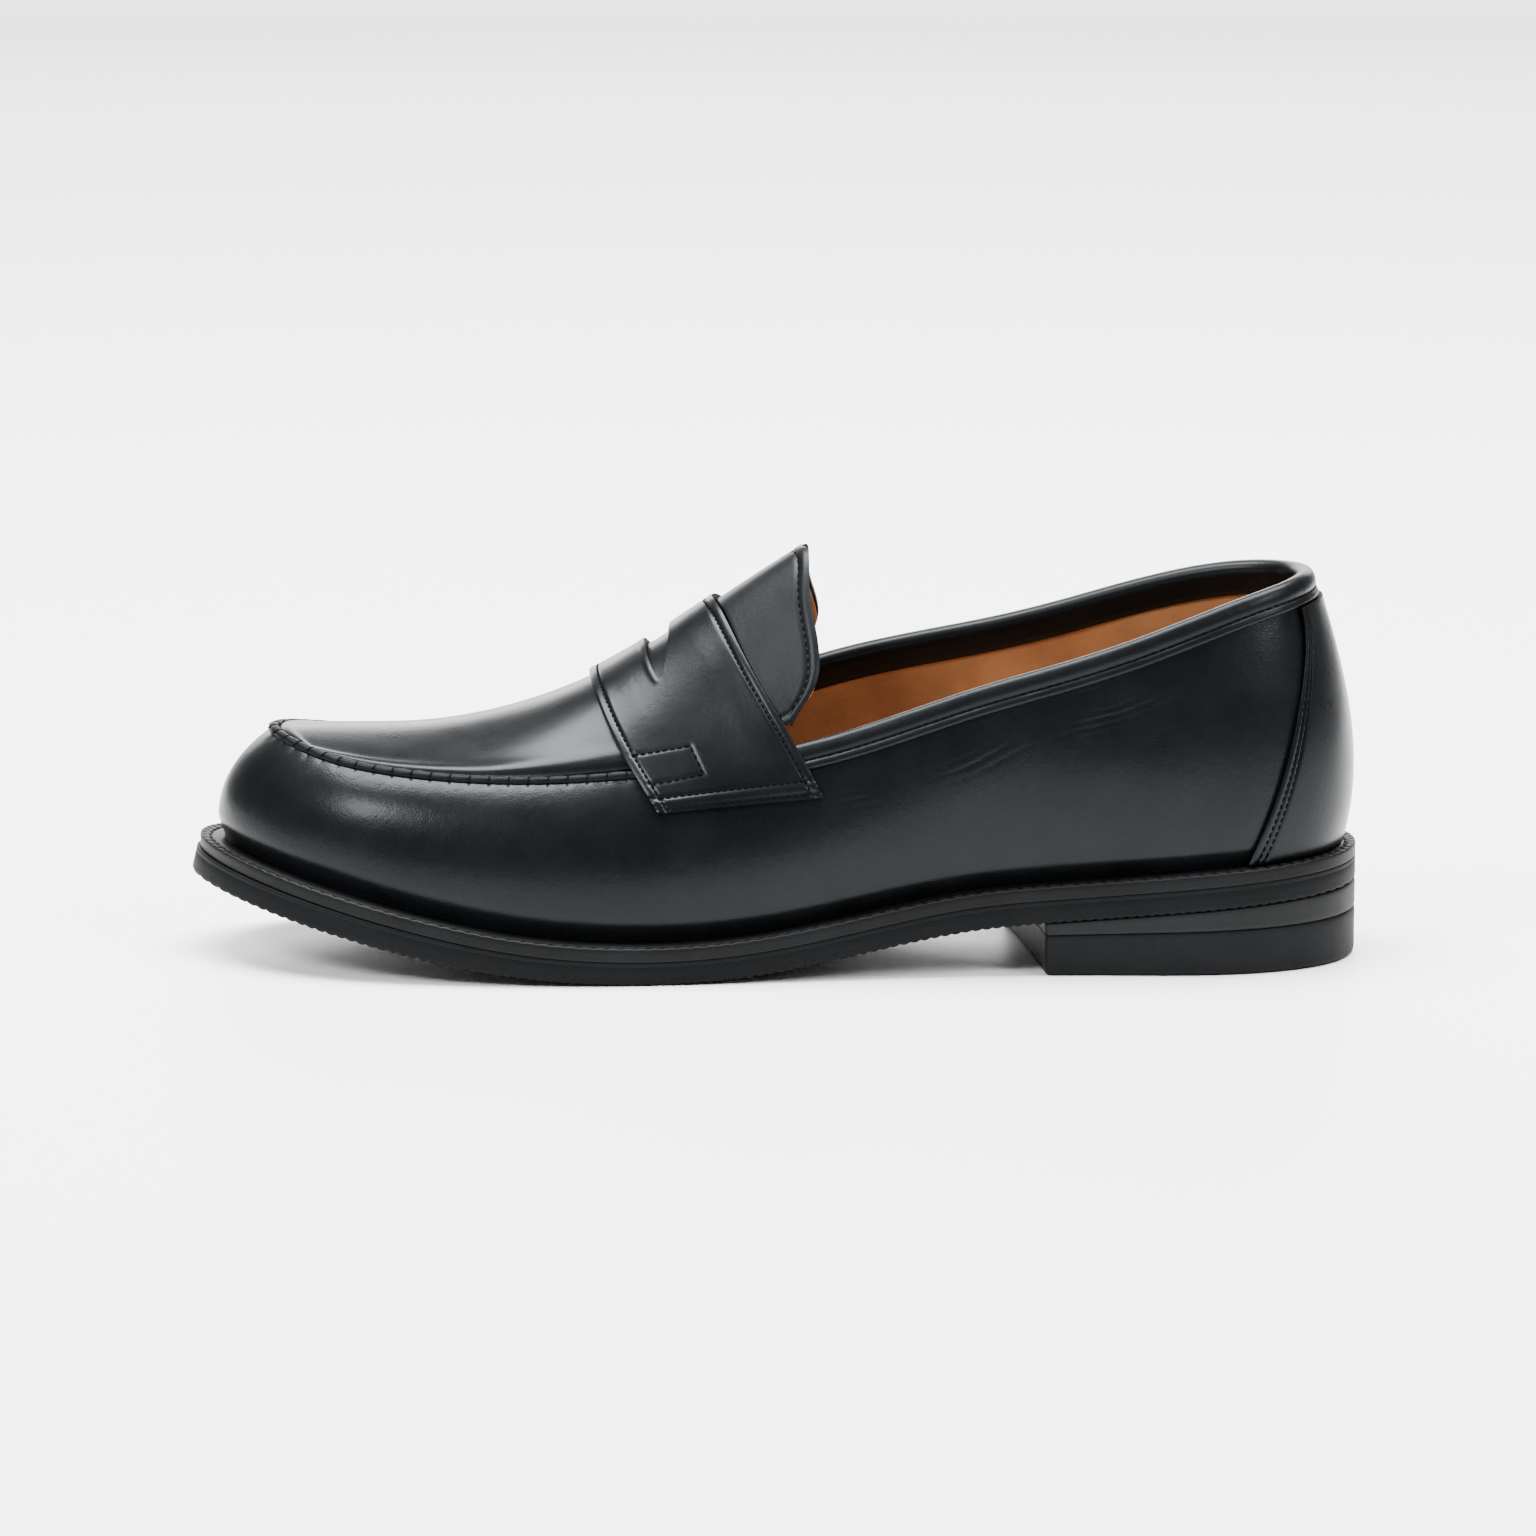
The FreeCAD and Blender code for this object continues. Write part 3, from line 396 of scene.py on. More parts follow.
def add_object(name, data):
    item = bpy.data.objects.new(name, data)
    bpy.context.scene.collection.objects.link(item)
    return item


def mesh_object(name, points, faces, weld=0.0, outward=False):
    """Object from points in mm: weld joins near points, outward turns the faces out."""
    mesh = bpy.data.meshes.new(name)
    mesh.from_pydata((np.asarray(points).reshape(-1, 3) * MM).tolist(), [],
                     [list(map(int, face)) for face in faces])
    shape = bmesh.new()
    shape.from_mesh(mesh)
    if weld:
        bmesh.ops.remove_doubles(shape, verts=shape.verts, dist=weld * MM)
        bmesh.ops.dissolve_degenerate(shape, edges=shape.edges, dist=weld * MM / 2)
    if outward:
        bmesh.ops.recalc_face_normals(shape, faces=shape.faces)
    shape.to_mesh(mesh)
    shape.free()
    mesh.shade_smooth()
    mesh.update()
    return add_object(name, mesh)


def thicken(item, thickness, bevel, cut=None):
    """Gives an open skin its thickness, inwards, and rounds its edges, in the cut material."""
    if cut:
        item.data.materials.append(None)
        item.data.materials.append(cut)
    solid = item.modifiers.new("thickness", "SOLIDIFY")
    solid.thickness, solid.offset, solid.use_even_offset = thickness * MM, -1, True
    solid.material_offset_rim = 1 if cut else 0
    if bevel:
        round_off = item.modifiers.new("edge", "BEVEL")
        round_off.width, round_off.segments = bevel * MM, 3
        round_off.limit_method, round_off.angle_limit = "ANGLE", math.radians(55)
        round_off.material = 1 if cut else -1
    graph = bpy.context.evaluated_depsgraph_get()
    made = bpy.data.meshes.new_from_object(item.evaluated_get(graph))
    item.modifiers.clear()
    item.data = made
    made.shade_smooth()
    return item


def paint_node(name, material):
    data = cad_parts[name].data
    if not data.materials:
        data.materials.append(material)
    for k in range(len(data.materials)):
        data.materials[k] = material


def finish_piece(item, material, *nodes, slot="upper_leather", body="root"):
    """Paints a piece and the CAD nodes it replaces, and gives it its body; the slot is not used.
    """
    if not item.data.materials:
        item.data.materials.append(material)
    item.data.materials[0] = material
    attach(item, body)
    if nodes:
        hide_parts(*nodes)
    for name in nodes:
        paint_node(name, material)


def skin(name, grid, lift, thickness, bevel=0.4, cut=None, closed=False):
    """Leather panel from a grid of the form, its face lifted from it by an array in mm."""
    lifted = grid + normals(grid, closed) * lift[..., None]
    item = mesh_object(name, lifted, grid_faces(*grid.shape[:2], closed=closed))
    return thicken(item, thickness, bevel, cut)


class Threads:
    """Rows of stitches gathered into one mesh."""

    RINGS = ((-0.5, 0.30), (-0.36, 0.82), (-0.12, 1.0), (0.12, 1.0), (0.36, 0.82), (0.5, 0.30))
    ROUND = 6

    def __init__(self):
        self.points, self.faces, self.count = [], [], 0
        turns = np.arange(self.ROUND) * 2 * np.pi / self.ROUND
        self.template = np.array([(a, r * np.cos(t), r * np.sin(t))
                                  for a, r in self.RINGS for t in turns])
        rings = len(self.RINGS)
        quads = grid_faces(rings, self.ROUND, across=True)[:, ::-1].tolist()
        last = (rings - 1) * self.ROUND
        self.shape = quads + [list(range(self.ROUND)),
                              [last + k for k in reversed(range(self.ROUND))]]

    def row(self, path, up, pitch, length, width=0.5, height=0.34, start=0.5):
        """Stitches along a path, each swung a little across it; start is in pitches."""
        path, up = np.asarray(path, float), np.asarray(up, float)
        run = run_along(path)
        count = max(1, int(run[-1] / pitch))
        places = (np.arange(count) + start) * run[-1] / count

        def read(data, at):
            return np.stack([np.interp(at, run, data[:, k]) for k in range(3)], -1)

        centre, normal = read(path, places), unit(read(up, places))
        ahead = unit(read(path, np.minimum(places + 0.3, run[-1]))
                     - read(path, np.maximum(places - 0.3, 0)))
        side = unit(np.cross(normal, ahead))
        swing = RANDOM.normal(0, 0.04, count)[:, None]
        turned = ahead * np.cos(swing) + side * np.sin(swing)
        side = side * np.cos(swing) - ahead * np.sin(swing)
        size = 1 + RANDOM.normal(0, 0.05, count)[:, None, None]
        t = self.template
        made = (centre[:, None] + turned[:, None] * (t[:, 0] * length)[None, :, None] * size
                + side[:, None] * (t[:, 1] * width / 2)[None, :, None]
                + normal[:, None] * (t[:, 2] * height / 2)[None, :, None])
        for block in made:
            self.points.append(block)
            self.faces += [[self.count + k for k in face] for face in self.shape]
            self.count += len(t)

    def piece(self, name, material, *nodes, body="root"):
        item = mesh_object(name, np.vstack(self.points), self.faces)
        finish_piece(item, material, *nodes, slot="thread", body=body)


class Noise:
    """Smooth random field over two coordinates, about -1 to 1."""

    def __init__(self, seed, size=512):
        self.size = size
        self.values = np.random.default_rng(seed).uniform(-1, 1, (size, size))

    def __call__(self, a, b):
        a, b = matched(a, b)
        i, j = np.floor(a).astype(int), np.floor(b).astype(int)
        s, t = smooth(a - i), smooth(b - j)

        def read(p, q):
            return self.values[(i + p) % self.size, (j + q) % self.size]

        return ((1 - s) * (1 - t) * read(0, 0) + s * (1 - t) * read(1, 0)
                + (1 - s) * t * read(0, 1) + s * t * read(1, 1))


broad, fine, lines = Noise(11), Noise(23), Noise(37)


def creases(along, across, length, width, sharp=0.16):
    """0 on plain leather to 1 in a crease: wandering lines much longer than wide."""
    field = lines(along / length, across / width)
    field = field + 0.4 * lines(along / length * 2.3, across / width * 2.1 + 40)
    patches = smooth(0.5 + 1.3 * fine(along / length * 1.4 + 9, across / width * 0.6))
    return bump(field, sharp) * patches


def wrinkles(along, across):
    """Fine folds lying along the leather, gathered in patches: 0 to 1."""
    wander = across + 2.6 * broad(along / 22, across / 30) + 0.8 * fine(along / 7, across / 12)
    ridges = 0.5 + 0.5 * np.cos(2 * np.pi * wander / 2.4)
    patches = smooth(0.35 + 1.2 * lines(along / 21 + 3, across / 6))
    return ridges**3 * patches


def on(form, along, up, high=0.0, tiny=1e-3):
    """Points of a form lifted by high, with their outward normals."""
    ahead = form(along + tiny, up) - form(along - tiny, up)
    above = form(along, up + tiny) - form(along, up - tiny)
    normal = unit(np.cross(above, ahead))
    return form(along, up) + normal * np.asarray(high)[..., None], normal


# ---- materials
def set_inputs(node, values):
    for name, value in values.items():
        node.inputs[name].default_value = value


def make_material(name, colour, rough, *, vary=0.25, rough_vary=0.06, metal=0.0, coat=0.0,
                  coat_rough=0.2, specular=0.5, tint=(1, 1, 1), sheen=0.0, **bumps):
    """Procedural material. A bump is its kind, with its size and height in mm."""
    material = bpy.data.materials.new(name)
    material.use_nodes = True
    nodes, links = material.node_tree.nodes, material.node_tree.links
    shader = nodes["Principled BSDF"]
    set_inputs(shader, {"Metallic": metal, "Coat Weight": coat, "Coat Roughness": coat_rough,
                        "Specular IOR Level": specular, "Specular Tint": (*tint, 1),
                        "Sheen Weight": sheen})
    place = nodes.new("ShaderNodeTexCoord").outputs["Object"]

    def texture(kind, **inputs):
        node = nodes.new("ShaderNodeTex" + kind)
        set_inputs(node, inputs)
        links.new(place, node.inputs["Vector"])
        return node

    ramp = nodes.new("ShaderNodeValToRGB")
    dark = [c * (1 - vary) for c in colour]
    light = [min(1.0, c * (1 + vary)) for c in colour]
    for stop, stop_at, shade in zip(ramp.color_ramp.elements, (0.35, 0.65), (dark, light)):
        stop.position, stop.color = stop_at, (*shade, 1)
    cloudy = texture("Noise", Scale=60.0, Detail=5.0)
    links.new(cloudy.outputs["Fac"], ramp.inputs["Fac"])
    links.new(ramp.outputs["Color"], shader.inputs["Base Color"])

    worn = texture("Noise", Scale=170.0, Detail=6.0)
    to_rough = nodes.new("ShaderNodeMapRange")
    set_inputs(to_rough, {"To Min": rough - rough_vary, "To Max": rough + rough_vary})
    links.new(worn.outputs["Fac"], to_rough.inputs["Value"])
    links.new(to_rough.outputs["Result"], shader.inputs["Roughness"])

    normal = None
    for kind, (size_mm, height_mm) in bumps.items():
        scale = 1 / (size_mm * MM)
        if kind == "cells":
            cells = texture("Voronoi", Scale=scale)
            cells.feature = "DISTANCE_TO_EDGE"
            height = cells.outputs["Distance"]
        elif kind == "weave":
            height = texture("Wave", Scale=scale, Distortion=2.0).outputs["Fac"]
        else:
            height = texture("Noise", Scale=scale, Detail=4.0).outputs["Fac"]
        relief = nodes.new("ShaderNodeBump")
        set_inputs(relief, {"Distance": height_mm * MM, "Strength": 1.0})
        links.new(height, relief.inputs["Height"])
        if normal:
            links.new(normal, relief.inputs["Normal"])
        normal = relief.outputs["Normal"]
    links.new(normal, shader.inputs["Normal"])
    if coat:
        links.new(normal, shader.inputs["Coat Normal"])
    return material


CALF, COOL = (0.0026, 0.0029, 0.0034), (0.90, 0.97, 1.0)
SHINY = {"specular": 0.12, "tint": COOL, "coat": 0.03, "coat_rough": 0.16}
calf = make_material("calf", CALF, 0.29, noise=(1.6, 0.03), cells=(0.6, 0.020), **SHINY)
grained_calf = make_material("grained_calf", CALF, 0.30, noise=(2.2, 0.05), cells=(0.8, 0.034),
                             **SHINY)
soft_calf = make_material("soft_calf", (0.0032, 0.0036, 0.0043), 0.36, specular=0.12, tint=COOL,
                          noise=(1.1, 0.04), cells=(0.5, 0.02))
binding_calf = make_material("binding_calf", CALF, 0.36, specular=0.11, tint=COOL, coat=0.02,
                             noise=(1.2, 0.03), cells=(0.5, 0.02))
cut_edge = make_material("cut_edge", (0.0025, 0.0025, 0.0030), 0.66, specular=0.06,
                         noise=(0.35, 0.06))
seam_calf = make_material("seam_calf", CALF, 0.50, specular=0.08, tint=COOL, noise=(0.6, 0.08))
tan_leather = make_material("tan_leather", (0.265, 0.116, 0.044), 0.52, vary=0.16, specular=0.3,
                            coat=0.04, noise=(1.4, 0.05), cells=(0.6, 0.03))
welt_rubber = make_material("welt_rubber", (0.0030, 0.0033, 0.0036), 0.48, specular=0.10,
                            noise=(0.8, 0.05))
sole_rubber = make_material("sole_rubber", (0.0022, 0.0027, 0.0030), 0.58, vary=0.12,
                            specular=0.08, noise=(0.5, 0.05), coarse_noise=(2.5, 0.08))
lift_rubber = make_material("lift_rubber", (0.0052, 0.0057, 0.0062), 0.56, vary=0.12,
                            specular=0.14, noise=(0.6, 0.06))
heel_rubber = make_material("heel_rubber", (0.0036, 0.0041, 0.0046), 0.60, vary=0.12,
                            specular=0.10, noise=(0.5, 0.06))
black_thread = make_material("black_thread", (0.0020, 0.0020, 0.0024), 0.75, specular=0.05,
                             weave=(0.25, 0.05))
welt_cord = make_material("welt_cord", (0.012, 0.0125, 0.0135), 0.6, specular=0.15,
                          weave=(0.3, 0.06))
tan_thread = make_material("tan_thread", (0.30, 0.145, 0.062), 0.6, sheen=0.2,
                           weave=(0.25, 0.05))
fibre_board = make_material("fibre_board", (0.33, 0.22, 0.12), 0.85, noise=(0.7, 0.10))
cork = make_material("cork", (0.36, 0.20, 0.09), 0.85, vary=0.45,
                     cells=(1.8, 0.25), noise=(0.7, 0.10))
steel = make_material("steel", (0.46, 0.47, 0.49), 0.28, metal=1.0, noise=(0.6, 0.02))
foam = make_material("foam", (0.62, 0.58, 0.50), 0.9, cells=(0.9, 0.15))
stiff_board = make_material("stiff_board", (0.50, 0.44, 0.36), 0.8, noise=(0.9, 0.08))

# ---- upper wall
ROUND_MM = 770.0
FEATHER_DEEP, FEATHER_HIGH = 1.3, 6.0


def below_guide(at, rise):
    """Distance below the top of the wall, in mm."""
    return (1 - rise) * (seat(guide_x(at)) + guide_rise(at) - seat(edge_x(at)))


SEAM_START, SEAM_END = float(wall_place(-34.0, 1.0, -1)), float(wall_place(-34.0, 1.0, 1))
seam_ats = np.linspace(SEAM_START, SEAM_END, 1201)
seam_points = wall(seam_ats, 1.0)
seam_run = run_along(seam_points)
STITCH_PITCH = 4.9
SEAM_STITCHES = int(seam_run[-1] / STITCH_PITCH)


def seam_phase(at):
    """Stitches of the apron seam counted along it; whole numbers lie between stitches."""
    return np.interp(at, seam_ats, seam_run) / seam_run[-1] * SEAM_STITCHES


def gather(at):
    """0 in the pull of a seam stitch to 1 midway between two."""
    return np.abs(np.cos(np.pi * seam_phase(at))) ** 0.7


def wall_relief(at, rise):
    x, below = edge_x(at), below_guide(at, rise)
    around = at * ROUND_MM
    quarter = smooth((x - 5) / 25)
    heel = smooth((x - 105) / 20)
    relief = 0.22 * broad(around / 42, below / 17) * smooth(below / 12)
    relief += 0.05 * broad(around / 16 + 7, below / 9)
    fold = wrinkles(around + below * 0.8, below) * quarter * (1 - heel)
    relief -= 0.15 * fold * smooth((below - 6.5) / 3) * (1 - smooth((below - 15) / 9))
    fore = 1 - smooth((x + 30) / 20)
    pull = (1 - gather(at)) * bump(np.maximum(below - 1.6, 0), 1.5)
    relief -= fore * (0.16 * pull + 0.9 * (1 - smooth(below / 2.0)))
    relief -= FEATHER_DEEP * (1 - smooth(rise * guide_rise(at) / FEATHER_HIGH)) ** 1.4
    return relief


wall_ats = np.linspace(0, 1, 1001)[:-1]
wall_rises = spreads((-0.006, 0.12, 0.009), (0.134, 0.60, 0.014), (0.61, 0.985, 0.008))
AT, RISE = np.meshgrid(wall_ats, wall_rises, indexing="ij")
finish_piece(skin("upper_wall", wall(AT, RISE), wall_relief(AT, RISE), UPPER, closed=True),
             grained_calf, "vamp_wall")

# ---- apron and its seam
APRON_LONG, APRON_HALF = 82, 33


def apron_relief(u, v):
    side = (1 - np.abs(v)) * APRON_HALF
    toe = np.where(u > 0, (1 - u) * APRON_LONG, APRON_LONG / 2)
    near = np.minimum(side, toe)
    x_mm, y_mm = np.where(u > 0, u * APRON_LONG, u), v * APRON_HALF
    relief = 0.16 * broad(x_mm / 30 + 60, y_mm / 15) + 0.02 * broad(x_mm / 9, y_mm / 7)
    relief -= 0.7 * bump(np.maximum(near - 1.4, 0), 1.1)
    relief += 0.30 * bump(near - 4.5, 2.2)
    bend = smooth((0.55 - u) / 0.5)
    relief -= 0.05 * creases(y_mm + 200, x_mm, 22, 5.0) * bend
    return relief


apron_us = spreads((0.985, 0.9, 0.005), (0.89, 0.0, 0.010), (-1.0, -26.0, 1.0))
apron_vs = spreads((-0.965, -0.86, 0.012), (-0.84, 0.84, 0.025), (0.86, 0.965, 0.012))
V, U = np.meshgrid(apron_vs, apron_us, indexing="ij")
finish_piece(skin("apron_panel", apron(U, V), apron_relief(U, V), UPPER),
             calf, "apron")


def guide_frames(at):
    """Points on the guide, the way out of the wall, the way up it and the way along."""
    step = 0.004
    point = wall(at, 1.0)
    along = unit(wall(at + step, 1.0) - wall(at - step, 1.0))
    out = unit(np.cross(unit(point - wall(at, 0.97)), along))
    return point, out, np.cross(along, out), along


def seam_frames(at):
    """Points on the guide, the way across the seam and the way out of it."""
    point, out, up, along = guide_frames(at)
    lift = unit(out * 0.45 + up * 0.55 + np.array((0, 0, 0.45)))
    return point, unit(np.cross(lift, along)), lift


LIP = ((-1.0, -1.2), (-1.08, -0.45), (-0.95, 0.15), (-0.5, 0.52), (0.1, 0.62), (0.65, 0.50),
       (1.1, 0.10), (1.32, -0.45), (1.3, -1.3))
lip_ats = np.interp(np.arange(0, seam_run[-1], 0.42), seam_run, seam_ats)
point, across_way, out_way = seam_frames(lip_ats)
swell = gather(lip_ats)
lip = np.zeros((len(lip_ats), len(LIP), 3))
for k, (aside, high) in enumerate(LIP):
    wide = aside * (0.86 + 0.20 * swell * (1.4 if aside > 0 else 0.8))
    tall = high * (0.72 + 0.36 * swell) if high > 0 else np.full_like(swell, high)
    tall = tall + 0.06 * broad(lip_ats * 300, k / 3)
    lip[:, k] = point + across_way * wide[:, None] + out_way * tall[:, None]
lip_item = mesh_object("apron_seam_lip", lip, grid_faces(*lip.shape[:2])[:, ::-1])
finish_piece(thicken(lip_item, 0.45, 0), seam_calf, "apron_seam")

seam_thread = Threads()
stitch_places = (np.arange(SEAM_STITCHES) + 0.5) / SEAM_STITCHES * seam_run[-1]
for place in stitch_places:
    at = np.interp(place + np.array((-0.35, 0.0, 0.35)), seam_run, seam_ats)
    point, aside, high = seam_frames(at)
    top = point[1] + high[1] * 0.42
    rope = np.stack((point[0] - aside[0] * 1.6 - high[0] * 0.45, top - aside[1] * 0.5,
                     top + aside[1] * 0.6, point[2] + aside[2] * 1.8 - high[2] * 0.6))
    for a, b in zip(rope, rope[1:]):
        seam_thread.row(np.stack((a, b)), np.stack((high[1], high[1])), 9.0,
                        np.linalg.norm(b - a) * 1.25, 0.62, 0.5)
seam_thread.piece("apron_seam_stitches", black_thread, "apron_stitches")

# ---- saddle strap
SLOT_PLACE, SLOT_SPAN, SLOT_BEND, SLOT_WIDTH = -28.4, 0.36, 0.6, 6.6
EDGE_ROW, EDGE_TILT = 2.0, 0.75


def slot_edges(share):
    """x of the slot's front and rear edge; beyond its ends both follow the strap."""
    way = np.minimum(np.abs(share) / SLOT_SPAN, 1)
    middle = SLOT_PLACE + SLOT_BEND * way**2
    half = SLOT_WIDTH / 2 * (1 - way**2) ** 0.8
    past = smooth((np.abs(share) - SLOT_SPAN) / 0.5)
    middle = middle * (1 - past) + strap_x(0.52, share) * past
    return middle - half, middle + half


STRAP_ROWS = (0.9, 3.7)
STRAP_STITCH = (1.75, 1.3, 0.48, 0.34)
STRAP_HIGH = STRAP_LOW + STRAP
BOX = ((0.05, 17.0), (0.41, 16.2), (0.39, 8.2), (0.05, 7.6))
END_MM = 41.0
LATERAL_MM, MEDIAL_MM = 58.0, 50.0


def above_end(share):
    """Distance up the strap from its lower end, in mm."""
    return (1 - np.abs(share)) * np.where(share < 0, LATERAL_MM, MEDIAL_MM)


def strap_edges_mm(x, share):
    """Distance from the strap's front, rear and lower edges, in mm."""
    tilt = 1 / np.sqrt(1 + (np.abs(share) * EDGE_TILT) ** 2)
    front, rear = (x - strap_x(0, share)) * tilt, (strap_x(1, share) - x) * tilt
    return front, rear, above_end(share)


def box_mm(x, share):
    """Distance from the box of stitches near each lower end, in mm."""
    back = (x - strap_x(0, share)) / (strap_x(1, share) - strap_x(0, share)) * END_MM
    nearest = np.full_like(back, 9.0)
    for (back_a, up_a), (back_b, up_b) in zip(BOX, BOX[1:]):
        run, rise = (back_b - back_a) * END_MM, up_b - up_a
        past, above = back - back_a * END_MM, above_end(share) - up_a
        t = np.clip((past * run + above * rise) / (run**2 + rise**2), 0, 1)
        nearest = np.minimum(nearest, np.hypot(past - t * run, above - t * rise))
    return nearest


def strap_relief(x, share):
    front, rear, lower = strap_edges_mm(x, share)
    near = np.minimum(np.minimum(front, rear), lower)
    relief = -0.28 * bump(np.minimum(front, rear) - EDGE_ROW, 0.45)
    relief -= 0.20 * (1 - smooth(near / 0.6))
    relief += 0.12 * smooth((near - 3) / 6)
    for row_mm in STRAP_ROWS:
        relief -= 0.20 * bump(lower - row_mm, 0.60)
    relief += 0.14 * bump(lower - 2.4, 0.9)
    relief -= 0.16 * bump(box_mm(x, share), 0.65)
    slot_front = slot_edges(share)[0]
    ahead = np.where(np.abs(share) < SLOT_SPAN * 1.03, slot_front - x, 9.0)
    relief += 0.14 * bump(ahead - 0.8, 0.7) * (x < slot_front + 0.5)
    relief += 0.14 * broad(x / 14 + 5, share * 4) * smooth(near / 4)
    return relief


half_shares = spreads((0, 0.66, 0.0125), (0.665, 0.9, 0.006), (0.903, 1.0, 0.003))
shares = np.unique(np.concatenate((half_shares, -half_shares, (-SLOT_SPAN, SLOT_SPAN))))
steps = refined(0, 1, 0.022, (0, 1), 0.010, 0.24)
lines_x = (strap_x(0, shares), *slot_edges(shares), strap_x(1, shares))
halves = []
for fore, rear in (lines_x[:2], lines_x[2:]):
    half_x = fore[:, None] + (rear - fore)[:, None] * steps
    S = np.broadcast_to(shares[:, None], half_x.shape)
    halves.append(on(on_strap, S, half_x, STRAP_HIGH + strap_relief(half_x, S))[0])
faces = grid_faces(*halves[0].shape[:2])
faces = np.vstack((faces, faces + halves[0].size // 3))
strap_item = mesh_object("strap_leather", np.concatenate(halves), faces, weld=0.02)
finish_piece(thicken(strap_item, STRAP, 0.3, cut_edge),
             calf, "saddle_strap")

strap_thread = Threads()
for back, sign in ((0, 1), (1, -1)):
    s = spread(-0.975, 0.975, 0.01)
    x = strap_x(back, s) + sign * EDGE_ROW * np.sqrt(1 + (np.abs(s) * EDGE_TILT) ** 2)
    path, up = on(on_strap, s, x, STRAP_HIGH - 0.14)
    strap_thread.row(path, up, *STRAP_STITCH)


def strap_line(side, from_back, from_mm, to_back, to_mm, lift):
    """Straight line on the strap between two places: share back, mm above its lower edge."""
    t = np.linspace(0, 1, 40)
    mm = from_mm + (to_mm - from_mm) * t
    s = side * (1 - mm / (LATERAL_MM if side < 0 else MEDIAL_MM))
    x = strap_x(from_back + (to_back - from_back) * t, s)
    return on(on_strap, s, x, STRAP_HIGH + lift)


for side in (-1, 1):
    for row_mm in STRAP_ROWS:
        path, up = strap_line(side, 0.05, row_mm, 0.95, row_mm, -0.06)
        strap_thread.row(path, up, *STRAP_STITCH)
    for (back_a, mm_a), (back_b, mm_b) in zip(BOX, BOX[1:]):
        path, up = strap_line(side, back_a, mm_a, back_b, mm_b, 0.06)
        strap_thread.row(path, up, 1.75, 1.35, 0.46, 0.30)
strap_thread.piece("strap_stitches", black_thread)

# ---- tongue
tongue_rear = spline((0.0, 0.10, 0.23, 0.37, 0.53, 0.70, 0.80, 0.88, 0.95, 1.0),
                     (7.4, 8.9, 9.5, 9.6, 10.9, 12.1, 11.8, 9.9, 7.0, 5.0))
TONGUE_SPAN, TONGUE_SKEW, TONGUE_GAP = 0.565, 0.035, 0.5
TONGUE_MM, TONGUE_HALF_MM, RIM_ROW = 22.0, 32.0, 2.6


def tongue(share, forward):
    """Free part of the tongue: forward 0 at the strap to 1 at its rear edge."""
    v = share * (TONGUE_SPAN - TONGUE_SKEW * share)
    rear = tongue_rear(np.abs(share))
    front = strap_x(1, np.abs(v) / strap_end(rear, share)) + TONGUE_GAP
    return instep(front + (rear - front) * forward, v)


def tongue_long(share):
    """Length of the tongue from the strap to its rear edge, in mm."""
    return tongue_rear(np.abs(share)) + 15 - 19 * np.abs(share)


def rim_mm(share, forward):
    """Distance from the tongue's free rim, in mm."""
    length = tongue_long(share)
    rear = (1 - forward) * np.maximum(length, 1.0)
    corner = (1 - np.abs(share)) * TONGUE_HALF_MM
    return np.minimum(rear, corner + 0.25 * rear)


def tongue_relief(share, forward):
    near = rim_mm(share, forward)
    relief = -0.28 * bump(near - RIM_ROW, 0.45) + 0.12 * bump(near - 1.2, 1.0)
    relief -= 0.35 * (1 - smooth(near / 0.9))
    relief += 0.10 * broad(share * 5, forward * 2.2) * smooth(near / 5)
    relief -= 0.02 * creases(share * TONGUE_HALF_MM, forward * TONGUE_MM, 10, 3.0)
    return relief


tongue_shares = refined(-1, 1, 0.025, (-0.9, 0.9), 0.010, 0.14)
tongue_steps = refined(0, 1, 0.04, (1,), 0.018, 0.25)
S, F = np.meshgrid(tongue_shares, tongue_steps, indexing="ij")
finish_piece(skin("tongue_leather", tongue(S, F), tongue_relief(S, F), UPPER, 0.3, cut_edge),
             soft_calf, "tongue", body="tongue")
S, F = np.meshgrid(spread(-0.88, 0.88, 0.02), tongue_steps[:-3], indexing="ij")
finish_piece(skin("tongue_tan_lining", tongue(S, F), 0 * S - UPPER - GAP, LINING, 0.25),
             tan_leather, "tongue_lining", slot="tan_lining", body="tongue")
tongue_thread = Threads()
s = spread(-0.93, 0.93, 0.01)
path, up = on(tongue, s, 1 - RIM_ROW / np.maximum(tongue_long(s), 4.0), -0.16)
tongue_thread.row(path, up, 2.2, 1.55, 0.46, 0.34)
tongue_thread.piece("tongue_stitches", black_thread, body="tongue")

# ---- heel cover
counter_edge = spline((0, 0.2, 0.4, 0.6, 0.8, 1.0), (120, 126, 130.5, 133.5, 134.5, 132))
BINDING_OUT = 6.0
COVER_HALF_MM, COVER_ROWS = 40, (2.1, 3.7)
top_mm = np.linalg.norm(wall(0.0, 1.0) - wall(0.0, 0.98))
COVER_TOP = float(1 - (BINDING_OUT + 0.4) * 0.02 / top_mm)
cover_rises = spread(FOOT, 1.0, 0.01)
cover_place = spline(cover_rises, wall_place(counter_edge(cover_rises), cover_rises, -1))


def on_cover(row, rise):
    return wall(row * cover_place(rise), rise)


def cover_relief(row, rise):
    edge_mm = (1 - np.abs(row)) * COVER_HALF_MM
    relief = -0.35 * sum(bump(edge_mm - row_mm, 0.40) for row_mm in COVER_ROWS)
    relief -= 0.40 * (1 - smooth(edge_mm / 0.7))
    relief += 0.10 * broad(row * 4, rise * 5)
    return relief


